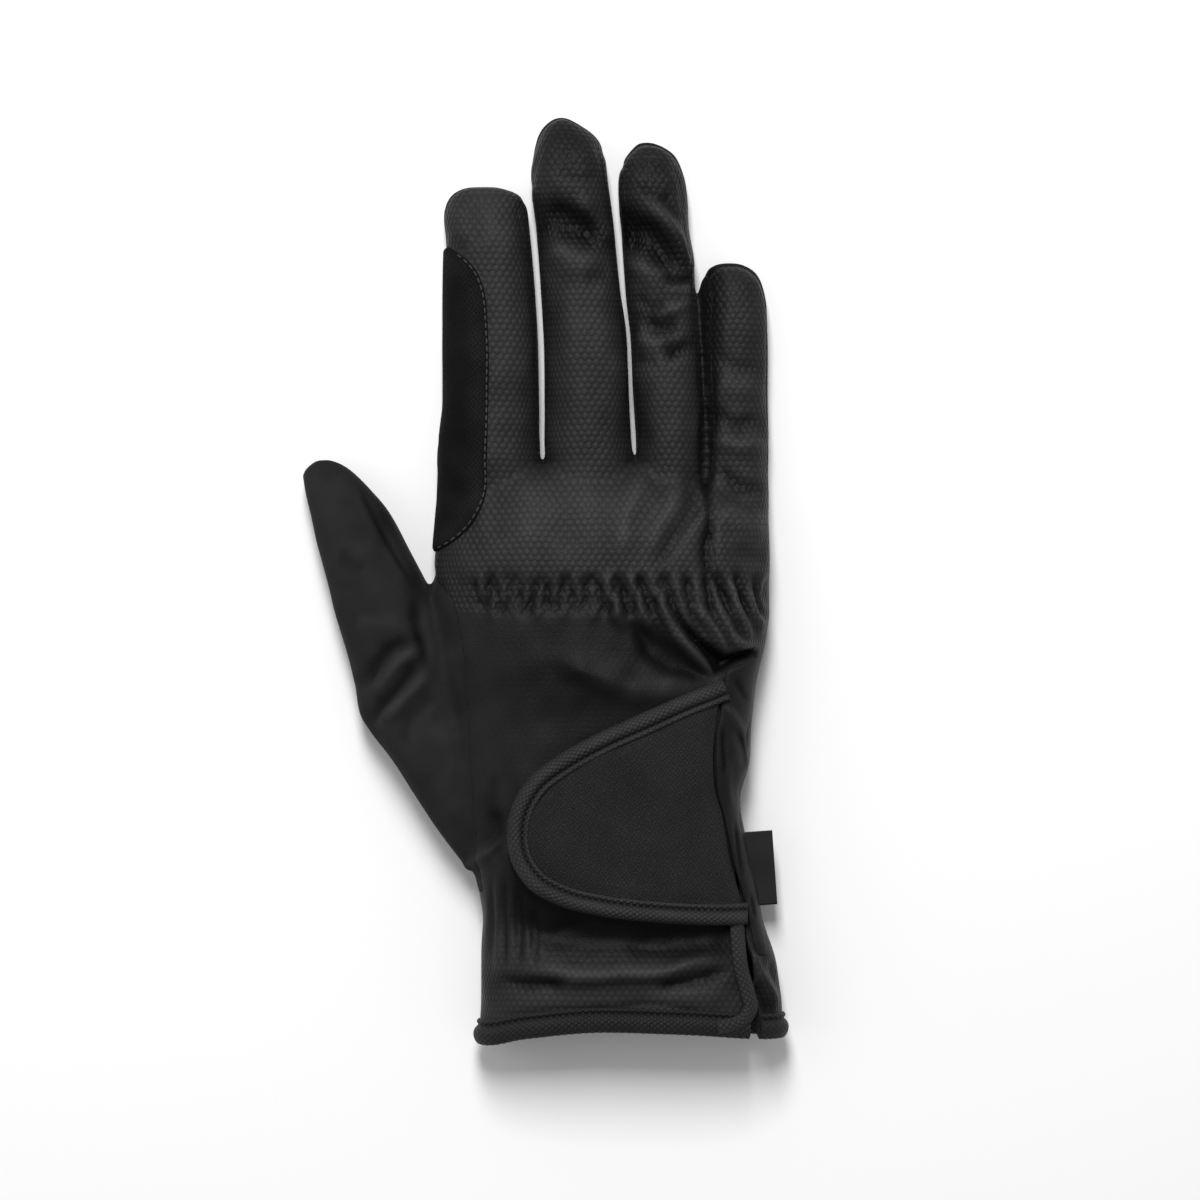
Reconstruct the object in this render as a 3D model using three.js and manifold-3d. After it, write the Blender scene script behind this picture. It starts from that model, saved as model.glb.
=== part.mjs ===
// Horse riding glove for the right hand, empty and lying palm down, in millimetres.
// +Y points to the fingertips, +X to the little finger and +Z to the back of the hand.
// It is modelled with its hem at y = 0 and its palm on z = 0, and centred on its box at the end.
import * as THREE from 'three';
import { mergeVertices } from 'three/addons/utils/BufferGeometryUtils.js';
import Module from 'manifold-3d';

const wasm = await Module();
wasm.setup();

// Cloth and clearances
const wall = 1.4;
const edgeDepth = wall / 4;    // how deep a fold's edges sit in the cloth under it
const keelDepth = 3 * edgeDepth;
const pieceGap = 0.3;          // between any two pieces
const layerCloth = 1.0;        // patch, strips and bindings laid on the glove

// Hand from the hem to the roots of the fingers
const handLength = 144;
const handWidth = 84;
const handHeight = 27;
const seamHeight = 7.5;        // seam between palm and back

// Fingers and thumb, from the root to the tip
const indexLength = 70;
const indexWidth = 21.5;
const indexHeight = 18;
const middleLength = 87.5;
const middleWidth = 21;
const middleHeight = 18.5;
const ringLength = 81.25;
const ringWidth = 17.5;
const ringHeight = 17;
const littleLength = 67;
const littleWidth = 17;
const littleHeight = 14.5;
const thumbLength = 102.5;
const thumbWidth = 24;
const thumbHeight = 20;

// Side strips between the fingers
const fourchetteWidth = 8;
const fourchetteEnd = 8;       // how far it stops short of the fingertip
const fourchetteInset = 0.3;   // its plan edge, from a finger's axis, as a share of the finger

// Closure tab
const tabCloth = 1.8;
const tabBindingWidth = 5.5;
const tabBindingCloth = 2.6;
const hookCloth = 1.2;
const hookInset = 9;

// Cuff
const hemBindingWidth = 5;
const hemEdge = 1.0;           // how far the binding reaches past the cloth
const slitBindingWidth = 3.6;
const stripCloth = 1.6;        // folded strip beside the slit
const stripLift = 3;           // its lower edge above the palm seam
const labelLength = 18.5;
const labelWidth = 7.2;
const labelCloth = 0.9;
const labelLift = 1.9;         // above the palm seam
const labelTurn = THREE.MathUtils.degToRad(4);

// Fineness of the solids
const handSides = 26;
const fingerSides = 14;
const innerShare = 0.6;        // sides of an inner wall against the outer one
const backShare = 0.68;        // sides over the back of a section, against all of them
const foldSteps = 3;
const foldEnd = 0.15;          // a fold's ends against its middle
const curveSteps = 14;
const smallestHalf = 1.3;      // inner sections narrower than this are left out

const gloveLength = handLength + middleLength;

// Shape of a section: 2 is an ellipse, more is squarer
const backRoundness = 2.5;
const palmRoundness = 3.6;
const widestShare = 0.4;       // height of the widest line of a section
const tipStart = 0.8;          // where an offset starts to lengthen a tube

const black = {
  mesh: { color: 0x1d1d1f, roughness: 0.78, metalness: 0 },
  suede: { color: 0x19191b, roughness: 0.9, metalness: 0 },
  patch: { color: 0x151517, roughness: 0.85, metalness: 0 },
  knit: { color: 0x202022, roughness: 0.82, metalness: 0 },
  binding: { color: 0x222224, roughness: 0.72, metalness: 0 },
  hook: { color: 0x121213, roughness: 0.95, metalness: 0 },
  label: { color: 0x0e0e0f, roughness: 0.6, metalness: 0 },
};

function table(columns, rows) {
  return rows.map((row) => Object.fromEntries(columns.map((name, i) => [name, row[i]])));
}

// Sections: where along the tube, then its edges as shares of its width and height
const sectionColumns = ['along', 'left', 'right', 'bottom', 'top'];
const hand = {
  start: [0, 0],
  lean: 0,
  length: handLength,
  width: handWidth,
  height: handHeight,
  sides: handSides,
  rows: table(sectionColumns, [
    [0, -0.36, 0.545, 0.07, 0.86],
    [0.073, -0.354, 0.54, 0.055, 0.885],
    [0.142, -0.354, 0.524, -0.03, 0.92],
    [0.212, -0.348, 0.485, -0.04, 0.88],
    [0.281, -0.369, 0.464, -0.04, 0.9],
    [0.42, -0.429, 0.417, -0.04, 0.96],
    [0.49, -0.446, 0.446, -0.04, 0.98],
    [0.628, -0.476, 0.467, -0.04, 1],
    [0.698, -0.488, 0.494, -0.04, 0.99],
    [0.767, -0.497, 0.506, -0.04, 0.97],
    [0.837, -0.49, 0.506, -0.04, 0.95],
    [0.906, -0.478, 0.5, -0.04, 0.88],
    [0.95, -0.474, 0.41, -0.04, 0.79],
    [0.98, -0.472, 0.33, -0.02, 0.68],
    [1, -0.472, 0.3, 0, 0.54],
  ]),
};

// A finger starts at shares of the hand's width and length; lean is its tip's move across, as a share
// of its length
const index = {
  start: [-0.321, 1],
  lean: -0.007,
  length: indexLength,
  width: indexWidth,
  height: indexHeight,
  sides: fingerSides,
  rows: table(sectionColumns, [
    [-0.264, -0.436, 0.436, -0.04, 0.9],
    [-0.121, -0.53, 0.532, -0.05, 1.02],
    [0, -0.585, 0.581, -0.05, 1.06],
    [0.12, -0.545, 0.585, -0.05, 1.02],
    [0.26, -0.508, 0.587, -0.05, 0.99],
    [0.786, -0.482, 0.507, -0.04, 0.87],
    [0.896, -0.514, 0.474, 0, 0.79],
    [0.943, -0.478, 0.452, 0.03, 0.72],
    [0.971, -0.419, 0.371, 0.08, 0.64],
    [0.989, -0.337, 0.244, 0.15, 0.55],
    [1, -0.233, 0.116, 0.22, 0.46],
  ]),
};
const middle = {
  start: [-0.024, 1],
  lean: -0.057,
  length: middleLength,
  width: middleWidth,
  height: middleHeight,
  sides: fingerSides,
  rows: table(sectionColumns, [
    [-0.269, -0.445, 0.329, -0.04, 0.9],
    [-0.097, -0.523, 0.477, -0.05, 1.02],
    [0, -0.524, 0.524, -0.05, 1.06],
    [0.183, -0.492, 0.52, -0.05, 1],
    [0.354, -0.463, 0.525, -0.05, 0.97],
    [0.5, -0.459, 0.485, -0.05, 0.9],
    [0.59, -0.464, 0.47, -0.05, 0.94],
    [0.697, -0.477, 0.452, -0.05, 0.83],
    [0.806, -0.511, 0.418, -0.03, 0.88],
    [0.943, -0.395, 0.308, 0.05, 0.7],
    [0.977, -0.303, 0.126, 0.12, 0.58],
    [1, -0.155, -0.048, 0.22, 0.44],
  ]),
};
const ring = {
  start: [0.214, 1],
  lean: -0.062,
  length: ringLength,
  width: ringWidth,
  height: ringHeight,
  sides: fingerSides,
  rows: table(sectionColumns, [
    [-0.289, -0.425, 0.289, -0.04, 0.9],
    [-0.105, -0.487, 0.427, -0.05, 1.02],
    [0, -0.486, 0.471, -0.05, 1.06],
    [0.197, -0.487, 0.485, -0.05, 1],
    [0.36, -0.477, 0.495, -0.05, 0.9],
    [0.44, -0.49, 0.495, -0.05, 0.98],
    [0.54, -0.506, 0.494, -0.05, 0.87],
    [0.62, -0.515, 0.496, -0.05, 0.95],
    [0.72, -0.526, 0.475, -0.05, 0.82],
    [0.868, -0.524, 0.448, 0, 0.88],
    [0.923, -0.465, 0.392, 0.03, 0.77],
    [0.96, -0.369, 0.317, 0.09, 0.65],
    [0.985, -0.262, 0.167, 0.16, 0.54],
    [1, -0.187, -0.001, 0.23, 0.44],
  ]),
};
const little = {
  start: [0.411, 0.889],
  lean: -0.03,
  length: littleLength,
  width: littleWidth,
  height: littleHeight,
  sides: fingerSides,
  rows: table(sectionColumns, [
    [-0.336, -0.422, 0.343, -0.04, 0.9],
    [-0.112, -0.484, 0.443, -0.05, 1.06],
    [0.112, -0.516, 0.454, -0.05, 1.04],
    [0.43, -0.505, 0.452, -0.05, 0.93],
    [0.6, -0.51, 0.468, -0.05, 0.97],
    [0.836, -0.519, 0.481, -0.03, 0.9],
    [0.925, -0.479, 0.418, 0.02, 0.8],
    [0.963, -0.431, 0.334, 0.07, 0.69],
    [0.989, -0.31, 0.205, 0.15, 0.57],
    [1, -0.206, 0.088, 0.23, 0.46],
  ]),
};
const thumb = {
  start: [-0.381, 0.299],
  lean: -0.361,
  length: thumbLength,
  width: thumbWidth,
  height: thumbHeight,
  sides: fingerSides,
  rows: table(sectionColumns, [
    [0, -0.042, 0.042, 0.3, 0.5],
    [0.059, -0.149, 0.194, 0.1, 0.75],
    [0.263, -0.417, 0.489, -0.04, 1],
    [0.38, -0.58, 0.587, -0.05, 1.02],
    [0.439, -0.532, 0.614, -0.05, 0.96],
    [0.527, -0.49, 0.656, -0.05, 1],
    [0.615, -0.469, 0.666, -0.05, 0.9],
    [0.702, -0.427, 0.604, -0.05, 0.93],
    [0.878, -0.334, 0.479, 0, 0.8],
    [0.937, -0.296, 0.361, 0.05, 0.71],
    [0.966, -0.271, 0.281, 0.1, 0.63],
    [0.99, -0.14, 0.183, 0.2, 0.52],
    [1, -0.062, 0.094, 0.28, 0.44],
  ]),
};
const fingers = [index, middle, ring, little];
const tubes = [hand, ...fingers, thumb];

// Hollows pressed into the back: place and reach as shares of the hand's width and length
const dentColumns = ['across', 'along', 'reachAcross', 'reachAlong', 'depth'];
const dents = table(dentColumns, [
  [0.38, 0.668, 0.11, 0.035, 0.11],      // pocket at the top of the slit
  [0.19, 0.66, 0.16, 0.04, 0.05],
  [0.06, 0.98, 0.05, 0.05, 0.04],        // between the knuckles
  [0.28, 0.9, 0.05, 0.06, 0.06],
  [-0.17, 0.97, 0.05, 0.05, 0.04],
  [-0.05, 0.2, 0.35, 0.03, 0.05],        // drawn in at the wrist
  [-0.05, 0.1, 0.3, 0.025, 0.06],
  [0.32, 0.12, 0.1, 0.02, 0.06],
]);

// Folds standing on the back, from one end to the other, as shares of their tube's sizes
const foldColumns = ['fromAcross', 'fromAlong', 'toAcross', 'toAlong', 'width', 'rise'];
const handFolds = table(foldColumns, [
  [-0.16, 0.681, 0.24, 0.622, 0.09, 0.045],    // broad fold above the tab
  [0.0, 0.752, 0.33, 0.652, 0.04, 0.055],      // long fold from the gathers to the slit
  [0.179, 0.83, 0.27, 0.95, 0.045, 0.05],      // tendons behind the knuckles
  [0.089, 0.828, 0.164, 0.965, 0.04, 0.05],
  [0.01, 0.828, 0.08, 0.965, 0.04, 0.04],
  [-0.1, 0.83, -0.06, 0.965, 0.045, 0.04],
  [-0.31, 0.142, 0.4, 0.15, 0.06, 0.045],      // round the cuff
  [-0.4, 0.42, -0.3, 0.31, 0.035, 0.035],
]);
const middleFolds = table(foldColumns, [
  [-0.02, 0.745, 0.34, 0.62, 0.2, 0.07],
  [-0.38, 0.64, 0.1, 0.6, 0.2, 0.06],
  [-0.2, 0.5, 0.36, 0.535, 0.16, 0.05],
]);
const ringFolds = table(foldColumns, [
  [-0.1, 0.75, 0.4, 0.625, 0.2, 0.08],
  [-0.42, 0.66, 0.1, 0.6, 0.2, 0.07],
  [-0.36, 0.49, 0.3, 0.44, 0.18, 0.07],
  [-0.1, 0.39, 0.38, 0.4, 0.16, 0.06],
]);
const littleFolds = table(foldColumns, [
  [-0.2, 0.38, 0.32, 0.33, 0.2, 0.06],
  [-0.25, 0.2, 0.32, 0.15, 0.2, 0.06],
]);
const thumbFolds = table(foldColumns, [
  [0.5, 0.62, -0.36, 0.43, 0.14, 0.06],
  [0.42, 0.55, -0.38, 0.37, 0.14, 0.06],
  [0.36, 0.47, -0.3, 0.31, 0.13, 0.05],
]);

// Gathers drawn up by elastic: each row runs from its first rib to its last, ribs all alike between
const gatherColumns = [
  'count', 'firstAcross', 'firstAlong', 'lastAcross', 'lastAlong',
  'firstSlant', 'firstLength', 'lastSlant', 'lastLength', 'width', 'firstRise', 'lastRise',
];
const gathers = table(gatherColumns, [
  [11, -0.34, 0.812, 0.405, 0.795, 0.02, 0.05, 0.05, 0.125, 0.036, 0.02, 0.06],    // knuckles
  [3, -0.33, 0.265, -0.235, 0.25, 0.01, 0.09, 0.03, 0.07, 0.016, 0.03, 0.03],       // wrist
]);

// Outlines seen from above, as shares of the hand's width and length
const outlineColumns = ['across', 'along'];
const thumbSeam = table(outlineColumns, [
  [-0.521, 0.837], [-0.488, 0.806], [-0.432, 0.767], [-0.399, 0.663], [-0.387, 0.524],
  [-0.375, 0.403], [-0.357, 0.312], [-0.345, 0.264], [-0.476, 0.247], [-0.952, 0.247],
  [-0.952, 1.045], [-0.655, 1.045],
]);
const sideSeam = table(outlineColumns, [
  [0.289, 1.392], [0.298, 1.288], [0.31, 1.045], [0.324, 0.898], [0.351, 0.802],
  [0.378, 0.698], [0.372, 0.61], [0.388, 0.42], [0.43, 0.203], [0.449, 0.073], [0.455, -0.031],
]);
const slitLeft = table(outlineColumns, [
  [0.369, 0.611], [0.38, 0.42], [0.42, 0.203], [0.432, 0.073], [0.44, -0.031],
]);
const slitRight = table(outlineColumns, [
  [0.378, 0.611], [0.396, 0.42], [0.44, 0.203], [0.467, 0.073], [0.47, -0.031],
]);
const tabFreeEdge = table(outlineColumns, [
  [0.363, 0.63], [0.119, 0.573], [-0.119, 0.503], [-0.22, 0.455], [-0.268, 0.39],
  [-0.268, 0.335], [-0.208, 0.273], [-0.06, 0.232], [0.149, 0.215], [0.432, 0.208],
]);
const tabSeam = table(outlineColumns, [
  [0.405, 0.333], [0.381, 0.42], [0.366, 0.524],
]);
const stripOutline = table(outlineColumns, [
  [0.372, 0.622], [0.376, 0.524], [0.391, 0.42], [0.416, 0.333], [0.446, 0.215],
  [0.472, 0.215], [0.45, 0.333], [0.425, 0.42], [0.432, 0.507], [0.42, 0.611],
]);
// Lower edge of the cloth, a shallow arch
const hemLine = table(outlineColumns, [
  [-0.345, 0.005], [-0.22, 0.019], [0.01, 0.031], [0.25, 0.027], [0.53, 0.017],
]);
const labelPlace = { across: 0.476, along: 0.302 };

// Outline of the index patch, as shares of the index finger's width and length
const patchOutline = table(outlineColumns, [
  [-0.9, 0.79], [-0.482, 0.779], [-0.181, 0.7], [-0.044, 0.629], [-0.029, 0.236],
  [-0.061, -0.121], [-0.261, -0.229], [-0.682, -0.307], [-0.9, -0.31],
]);
const patchLowest = 2;         // height where the patch stops on the palm side

// Roots of the side strips between the fingers, as shares of the hand's length
const fourchetteRoots = { index_middle: 0.975, middle_ring: 0.975, ring_little: 0.9 };

function startOf(tube) {
  return { x: tube.start[0] * handWidth, y: tube.start[1] * handLength };
}

function axisX(tube, along) {
  return startOf(tube).x + tube.lean * tube.length * along;
}

function rowAt(tube, along) {
  const rows = tube.rows;
  const next = Math.max(1, rows.findIndex((row) => row.along >= along));
  const [a, b] = [rows[next - 1], rows[next]];
  const share = THREE.MathUtils.clamp((along - a.along) / (b.along - a.along), 0, 1);
  const mixed = { along };
  for (const name of sectionColumns.slice(1)) {
    mixed[name] = THREE.MathUtils.lerp(a[name], b[name], share);
  }
  return mixed;
}

// Middle, half width, widest line and reach up and down of a section, grown by offset
function sectionOf(tube, row, offset) {
  const left = row.left * tube.width - offset;
  const right = row.right * tube.width + offset;
  const low = row.bottom * tube.height - offset;
  const high = row.top * tube.height + offset;
  const widest = low + (high - low) * widestShare;
  return {
    mid: axisX(tube, row.along) + (left + right) / 2,
    half: (right - left) / 2,
    widest,
    up: high - widest,
    down: widest - low,
  };
}

function dentAt(x, y) {
  let depth = 0;
  for (const dent of dents) {
    const across = (x / handWidth - dent.across) / dent.reachAcross;
    const along = (y / handLength - dent.along) / dent.reachAlong;
    depth += dent.depth * handHeight * Math.exp(-across * across - along * along);
  }
  return depth;
}

// Points round one section, from +X over the back; what would go below the table is flattened
function sectionRing(tube, row, offset, sides) {
  const { mid, half, widest, up, down } = sectionOf(tube, row, offset);
  const endShare = Math.max(0, (row.along - tipStart) / (1 - tipStart));
  const y = startOf(tube).y + row.along * tube.length + offset * endShare;
  const points = [];
  const backSides = Math.round(sides * backShare);
  for (let i = 0; i < sides; i += 1) {
    const palmTurn = (i - backSides) / (sides - backSides);
    const angle = Math.PI * (i < backSides ? i / backSides : 1 + palmTurn);
    const [c, s] = [Math.cos(angle), Math.sin(angle)];
    const power = 2 / (s >= 0 ? backRoundness : palmRoundness);
    const x = mid + half * Math.sign(c) * Math.abs(c) ** power;
    const lift = Math.sign(s) * Math.abs(s) ** power;
    const dented = tube === hand && s > 0 ? dentAt(x, y) * lift : 0;
    const z = widest + lift * (s >= 0 ? up : down) - dented;
    points.push(new THREE.Vector3(x, y, Math.max(z, -offset)));
  }
  return points;
}

function backHeight(tube, x, y) {
  const along = (y - startOf(tube).y) / tube.length;
  if (along < tube.rows[0].along || along > 1) return 0;
  const { mid, half, widest, up } = sectionOf(tube, rowAt(tube, along), 0);
  const side = Math.min(1, Math.abs(x - mid) / half);
  const lift = (1 - side ** backRoundness) ** (1 / backRoundness);
  const dented = tube === hand ? dentAt(x, y) * lift : 0;
  return widest + up * lift - dented;
}

// Closed surface through rings of points, with a fan over each end
function loftGeometry(rings) {
  const sides = rings[0].length;
  const points = rings.flat();
  const faces = [];
  for (let r = 0; r + 1 < rings.length; r += 1) {
    for (let i = 0; i < sides; i += 1) {
      const j = (i + 1) % sides;
      const [a, b] = [r * sides + i, r * sides + j];
      faces.push(a, a + sides, b, b, a + sides, b + sides);
    }
  }
  for (const end of [0, rings.length - 1]) {
    const centre = new THREE.Vector3();
    for (const point of rings[end]) {
      centre.addScaledVector(point, 1 / sides);
    }
    points.push(centre);
    for (let i = 0; i < sides; i += 1) {
      const [a, b] = [end * sides + i, end * sides + ((i + 1) % sides)];
      faces.push(points.length - 1, end === 0 ? a : b, end === 0 ? b : a);
    }
  }
  const geometry = new THREE.BufferGeometry().setFromPoints(points);
  geometry.setIndex(faces);
  return geometry;
}

function solidFrom(geometry) {
  const bare = geometry.clone();
  bare.deleteAttribute('normal');
  bare.deleteAttribute('uv');
  const merged = mergeVertices(bare);
  const vertProperties = new Float32Array(merged.attributes.position.array);
  const triVerts = new Uint32Array(merged.index.array);
  return new wasm.Manifold(new wasm.Mesh({ numProp: 3, vertProperties, triVerts }));
}

function geometryFrom(solid) {
  const mesh = solid.getMesh();
  const geometry = new THREE.BufferGeometry();
  geometry.setAttribute('position', new THREE.BufferAttribute(mesh.vertProperties, 3));
  geometry.setIndex(new THREE.BufferAttribute(mesh.triVerts, 1));
  geometry.computeVertexNormals();
  return geometry;
}

function join(solids) {
  return solids.reduce((whole, solid) => whole.add(solid));
}

function tubeSolid(tube, offset) {
  const inner = offset < 0;
  const sides = inner ? Math.round(tube.sides * innerShare) : tube.sides;
  const rows = tube.rows.filter((row) => {
    const { half, up, down } = sectionOf(tube, row, offset);
    return !inner || (half > smallestHalf && (up + down) / 2 > smallestHalf);
  });
  const rings = rows.map((row) => sectionRing(tube, row, offset, sides));
  if (tube === hand && offset !== 0) {
    rings.unshift(rings[0].map((point) => point.clone().setY(-Math.abs(offset))));
  }
  return solidFrom(loftGeometry(rings));
}

function formSolid(list, offset) {
  return join(list.map((tube) => tubeSolid(tube, offset)));
}

// Straight prism over a plan outline
function prism(points, low, high) {
  const shape = new THREE.Shape(points);
  const geometry = new THREE.ExtrudeGeometry(shape, { depth: high - low, bevelEnabled: false });
  geometry.translate(0, 0, low);
  return solidFrom(geometry);
}

function slab(low, high) {
  const geometry = new THREE.BoxGeometry(2 * gloveLength, 4 * gloveLength, high - low);
  geometry.translate(0, 0, (low + high) / 2);
  return solidFrom(geometry);
}

function onHand(rows) {
  return rows.map((row) => new THREE.Vector2(row.across * handWidth, row.along * handLength));
}

function onFinger(tube, rows) {
  return rows.map((row) => {
    const x = axisX(tube, row.along) + row.across * tube.width;
    return new THREE.Vector2(x, startOf(tube).y + row.along * tube.length);
  });
}

// Moves every side of a closed outline outwards, or inwards where distance is negative
function grow(points, distance) {
  const outwards = THREE.ShapeUtils.area(points) > 0 ? 1 : -1;
  return points.map((point, i) => {
    const before = points[(i + points.length - 1) % points.length];
    const after = points[(i + 1) % points.length];
    const first = point.clone().sub(before).normalize();
    const second = after.clone().sub(point).normalize();
    const normalOne = new THREE.Vector2(first.y, -first.x);
    const normalTwo = new THREE.Vector2(second.y, -second.x);
    const mitre = normalOne.clone().add(normalTwo).divideScalar(1 + normalOne.dot(normalTwo));
    return point.clone().addScaledVector(mitre, distance * outwards);
  });
}

// One fold: a low tapered ridge that follows the back's surface
function foldSolid(list, from, to, width, rise) {
  const direction = to.clone().sub(from).normalize();
  const side = new THREE.Vector2(direction.y, -direction.x);
  const profile = [1, 0, -1];
  const rings = [];
  for (let step = 0; step <= foldSteps; step += 1) {
    const share = step / foldSteps;
    const taper = Math.max(foldEnd, Math.sin(Math.PI * share));
    const centre = from.clone().lerp(to, share);
    const pointAt = (across, height) => {
      const place = centre.clone().addScaledVector(side, across * width / 2 * Math.sqrt(taper));
      const surface = Math.max(...list.map((tube) => backHeight(tube, place.x, place.y)));
      return new THREE.Vector3(place.x, place.y, surface + height);
    };
    const top = profile.map((across) => pointAt(across, rise * taper * (1 - across * across) - edgeDepth));
    rings.push([...top, pointAt(0, -keelDepth)]);
  }
  return solidFrom(loftGeometry(rings));
}

function foldsOf(tube, folds) {
  return folds.map((fold) => {
    const ends = [
      { across: fold.fromAcross, along: fold.fromAlong },
      { across: fold.toAcross, along: fold.toAlong },
    ];
    const [from, to] = tube === hand ? onHand(ends) : onFinger(tube, ends);
    return foldSolid([tube], from, to, fold.width * tube.width, fold.rise * tube.height);
  });
}

function gatherRibs(row) {
  const ribs = [];
  for (let i = 0; i < row.count; i += 1) {
    const share = i / (row.count - 1);
    const between = (name) => THREE.MathUtils.lerp(row[`first${name}`], row[`last${name}`], share);
    const start = { across: between('Across'), along: between('Along') };
    const end = { across: start.across + between('Slant'), along: start.along - between('Length') };
    const [from, to] = onHand([start, end]);
    ribs.push(foldSolid([hand], from, to, row.width * handWidth, between('Rise') * handHeight));
  }
  return ribs;
}

// The whole glove as one hollow body, open at the hem
const outside = join([
  formSolid(tubes, 0),
  ...foldsOf(hand, handFolds),
  ...foldsOf(middle, middleFolds),
  ...foldsOf(ring, ringFolds),
  ...foldsOf(little, littleFolds),
  ...foldsOf(thumb, thumbFolds),
  ...gathers.flatMap(gatherRibs),
]);

// Everything below the line of the hem, moved up by a distance
function belowHem(up) {
  const line = onHand(hemLine).map((point) => point.setY(point.y + up));
  const [left, right] = [line[0], line.at(-1)];
  return [
    new THREE.Vector2(-gloveLength, left.y), ...line, new THREE.Vector2(gloveLength, right.y),
    new THREE.Vector2(gloveLength, -gloveLength), new THREE.Vector2(-gloveLength, -gloveLength),
  ];
}

const everyHeight = [-gloveLength, gloveLength];
const shell = outside.subtract(formSolid(tubes, -wall)).subtract(prism(belowHem(0), ...everyHeight));

// Seams between the panels
const halfGap = pieceGap / 2;
const aboveSeam = slab(seamHeight + halfGap, gloveLength);
const belowSeam = slab(-gloveLength, seamHeight - halfGap);
const thumbOutline = onHand(thumbSeam);
const rightOfSide = [
  new THREE.Vector2(gloveLength, -gloveLength), new THREE.Vector2(gloveLength, 2 * gloveLength),
];
const sideOutline = [...onHand(sideSeam), ...rightOfSide];
const slitOutline = [...onHand(slitLeft), ...onHand(slitRight).reverse()];
const slit = prism(slitOutline, seamHeight + halfGap, gloveLength);

function fourchetteOutline(left, right, root) {
  const low = root * handLength;
  const outline = [];
  for (const tube of [left, right]) {
    const high = startOf(tube).y + tube.length - fourchetteEnd;
    const alongOf = (y) => (y - startOf(tube).y) / tube.length;
    const inset = (tube === left ? fourchetteInset : -fourchetteInset) * tube.width;
    const ends = [low, high].map((y) => new THREE.Vector2(axisX(tube, alongOf(y)) + inset, y));
    outline.push(...(tube === left ? ends.reverse() : ends));
  }
  return outline;
}

const fourchettes = {
  fourchette_index_middle: fourchetteOutline(index, middle, fourchetteRoots.index_middle),
  fourchette_middle_ring: fourchetteOutline(middle, ring, fourchetteRoots.middle_ring),
  fourchette_ring_little: fourchetteOutline(ring, little, fourchetteRoots.ring_little),
};
const fourchetteBand = [seamHeight - fourchetteWidth / 2, seamHeight + fourchetteWidth / 2];

function cutFourchette(outline) {
  return shell.intersect(prism(outline, ...fourchetteBand));
}

function withoutFourchettes(solid) {
  const [low, high] = fourchetteBand;
  return Object.values(fourchettes).reduce(
    (rest, outline) => rest.subtract(prism(grow(outline, pieceGap), low - pieceGap, high + pieceGap)),
    solid,
  );
}

const thumbPanel = shell.intersect(prism(thumbOutline, ...everyHeight));
const body = withoutFourchettes(shell.subtract(prism(grow(thumbOutline, pieceGap), ...everyHeight)));
const palmPanel = body.intersect(belowSeam);
const upper = body.intersect(aboveSeam).subtract(slit);
const sidePanel = upper.intersect(prism(sideOutline, ...everyHeight));
const backPanel = upper.subtract(prism(grow(sideOutline, pieceGap), ...everyHeight));

// A layer of cloth over the glove between two offsets, cut to a plan outline
function layer(list, inner, outer, outline, low) {
  const cloth = formSolid(list, outer).subtract(formSolid(list, inner));
  return cloth.intersect(prism(outline, low, gloveLength));
}

const indexPatch = layer(
  [hand, index], pieceGap, pieceGap + layerCloth, onFinger(index, patchOutline), patchLowest,
);

// Closure tab: a knit D over the slit, bound along its free edge and held by a hidden hook pad
const freeEdge = new THREE.SplineCurve(onHand(tabFreeEdge)).getPoints(curveSteps);
const tabOutline = [...freeEdge, ...onHand(tabSeam)];
const hookTop = pieceGap + hookCloth;
const tabBottom = hookTop + pieceGap;
const tabReach = 2 * (tabBindingWidth + hookInset);
const pastSeam = onHand(tabSeam).map((point) => point.setX(point.x + tabReach));
const openOutline = [...freeEdge, ...pastSeam];

function tabLayer(inner, outer, inset) {
  const cloth = formSolid([hand], outer).subtract(formSolid([hand], inner));
  const whole = cloth.intersect(prism(tabOutline, seamHeight, gloveLength));
  return inset > 0 ? whole.intersect(prism(grow(openOutline, -inset), seamHeight, gloveLength)) : whole;
}

const closureTab = tabLayer(tabBottom, tabBottom + tabCloth, tabBindingWidth + pieceGap);
const tabBinding = tabLayer(tabBottom - pieceGap / 2, tabBottom + tabBindingCloth, 0)
  .subtract(prism(grow(openOutline, -tabBindingWidth), seamHeight, gloveLength));
const hookPad = tabLayer(pieceGap, hookTop, hookInset)
  .subtract(prism(grow(slitOutline, slitBindingWidth + pieceGap), seamHeight, gloveLength));

// Folded edge strip beside the slit
const sideStrip = layer(
  [hand], pieceGap, pieceGap + stripCloth, onHand(stripOutline), seamHeight + stripLift,
);

// Binding round the hem, both faces of the cloth, with a leg up the slit
function hemBindingSolid() {
  const outer = pieceGap + layerCloth;
  const inner = wall + pieceGap + layerCloth;
  const aroundCloth = formSolid([hand], outer).subtract(formSolid([hand], -inner));
  const clothItself = formSolid([hand], pieceGap).subtract(formSolid([hand], -wall - pieceGap));
  const aboveEdge = aroundCloth.subtract(prism(belowHem(-hemEdge), ...everyHeight));
  const binding = aboveEdge.intersect(prism(belowHem(hemBindingWidth), ...everyHeight))
    .subtract(clothItself.subtract(prism(belowHem(-pieceGap), ...everyHeight)))
    .subtract(slit);
  const slitEdge = onHand(slitLeft).filter((point) => point.y < tabFreeEdge.at(-1).along * handLength);
  const legLeft = slitEdge.map((point) => point.clone().setX(point.x - slitBindingWidth)).reverse();
  const leg = layer([hand], pieceGap, outer, [...slitEdge, ...legLeft], seamHeight + halfGap);
  return binding.add(leg.subtract(prism(belowHem(0), ...everyHeight)));
}

const hemBinding = hemBindingSolid();

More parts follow.
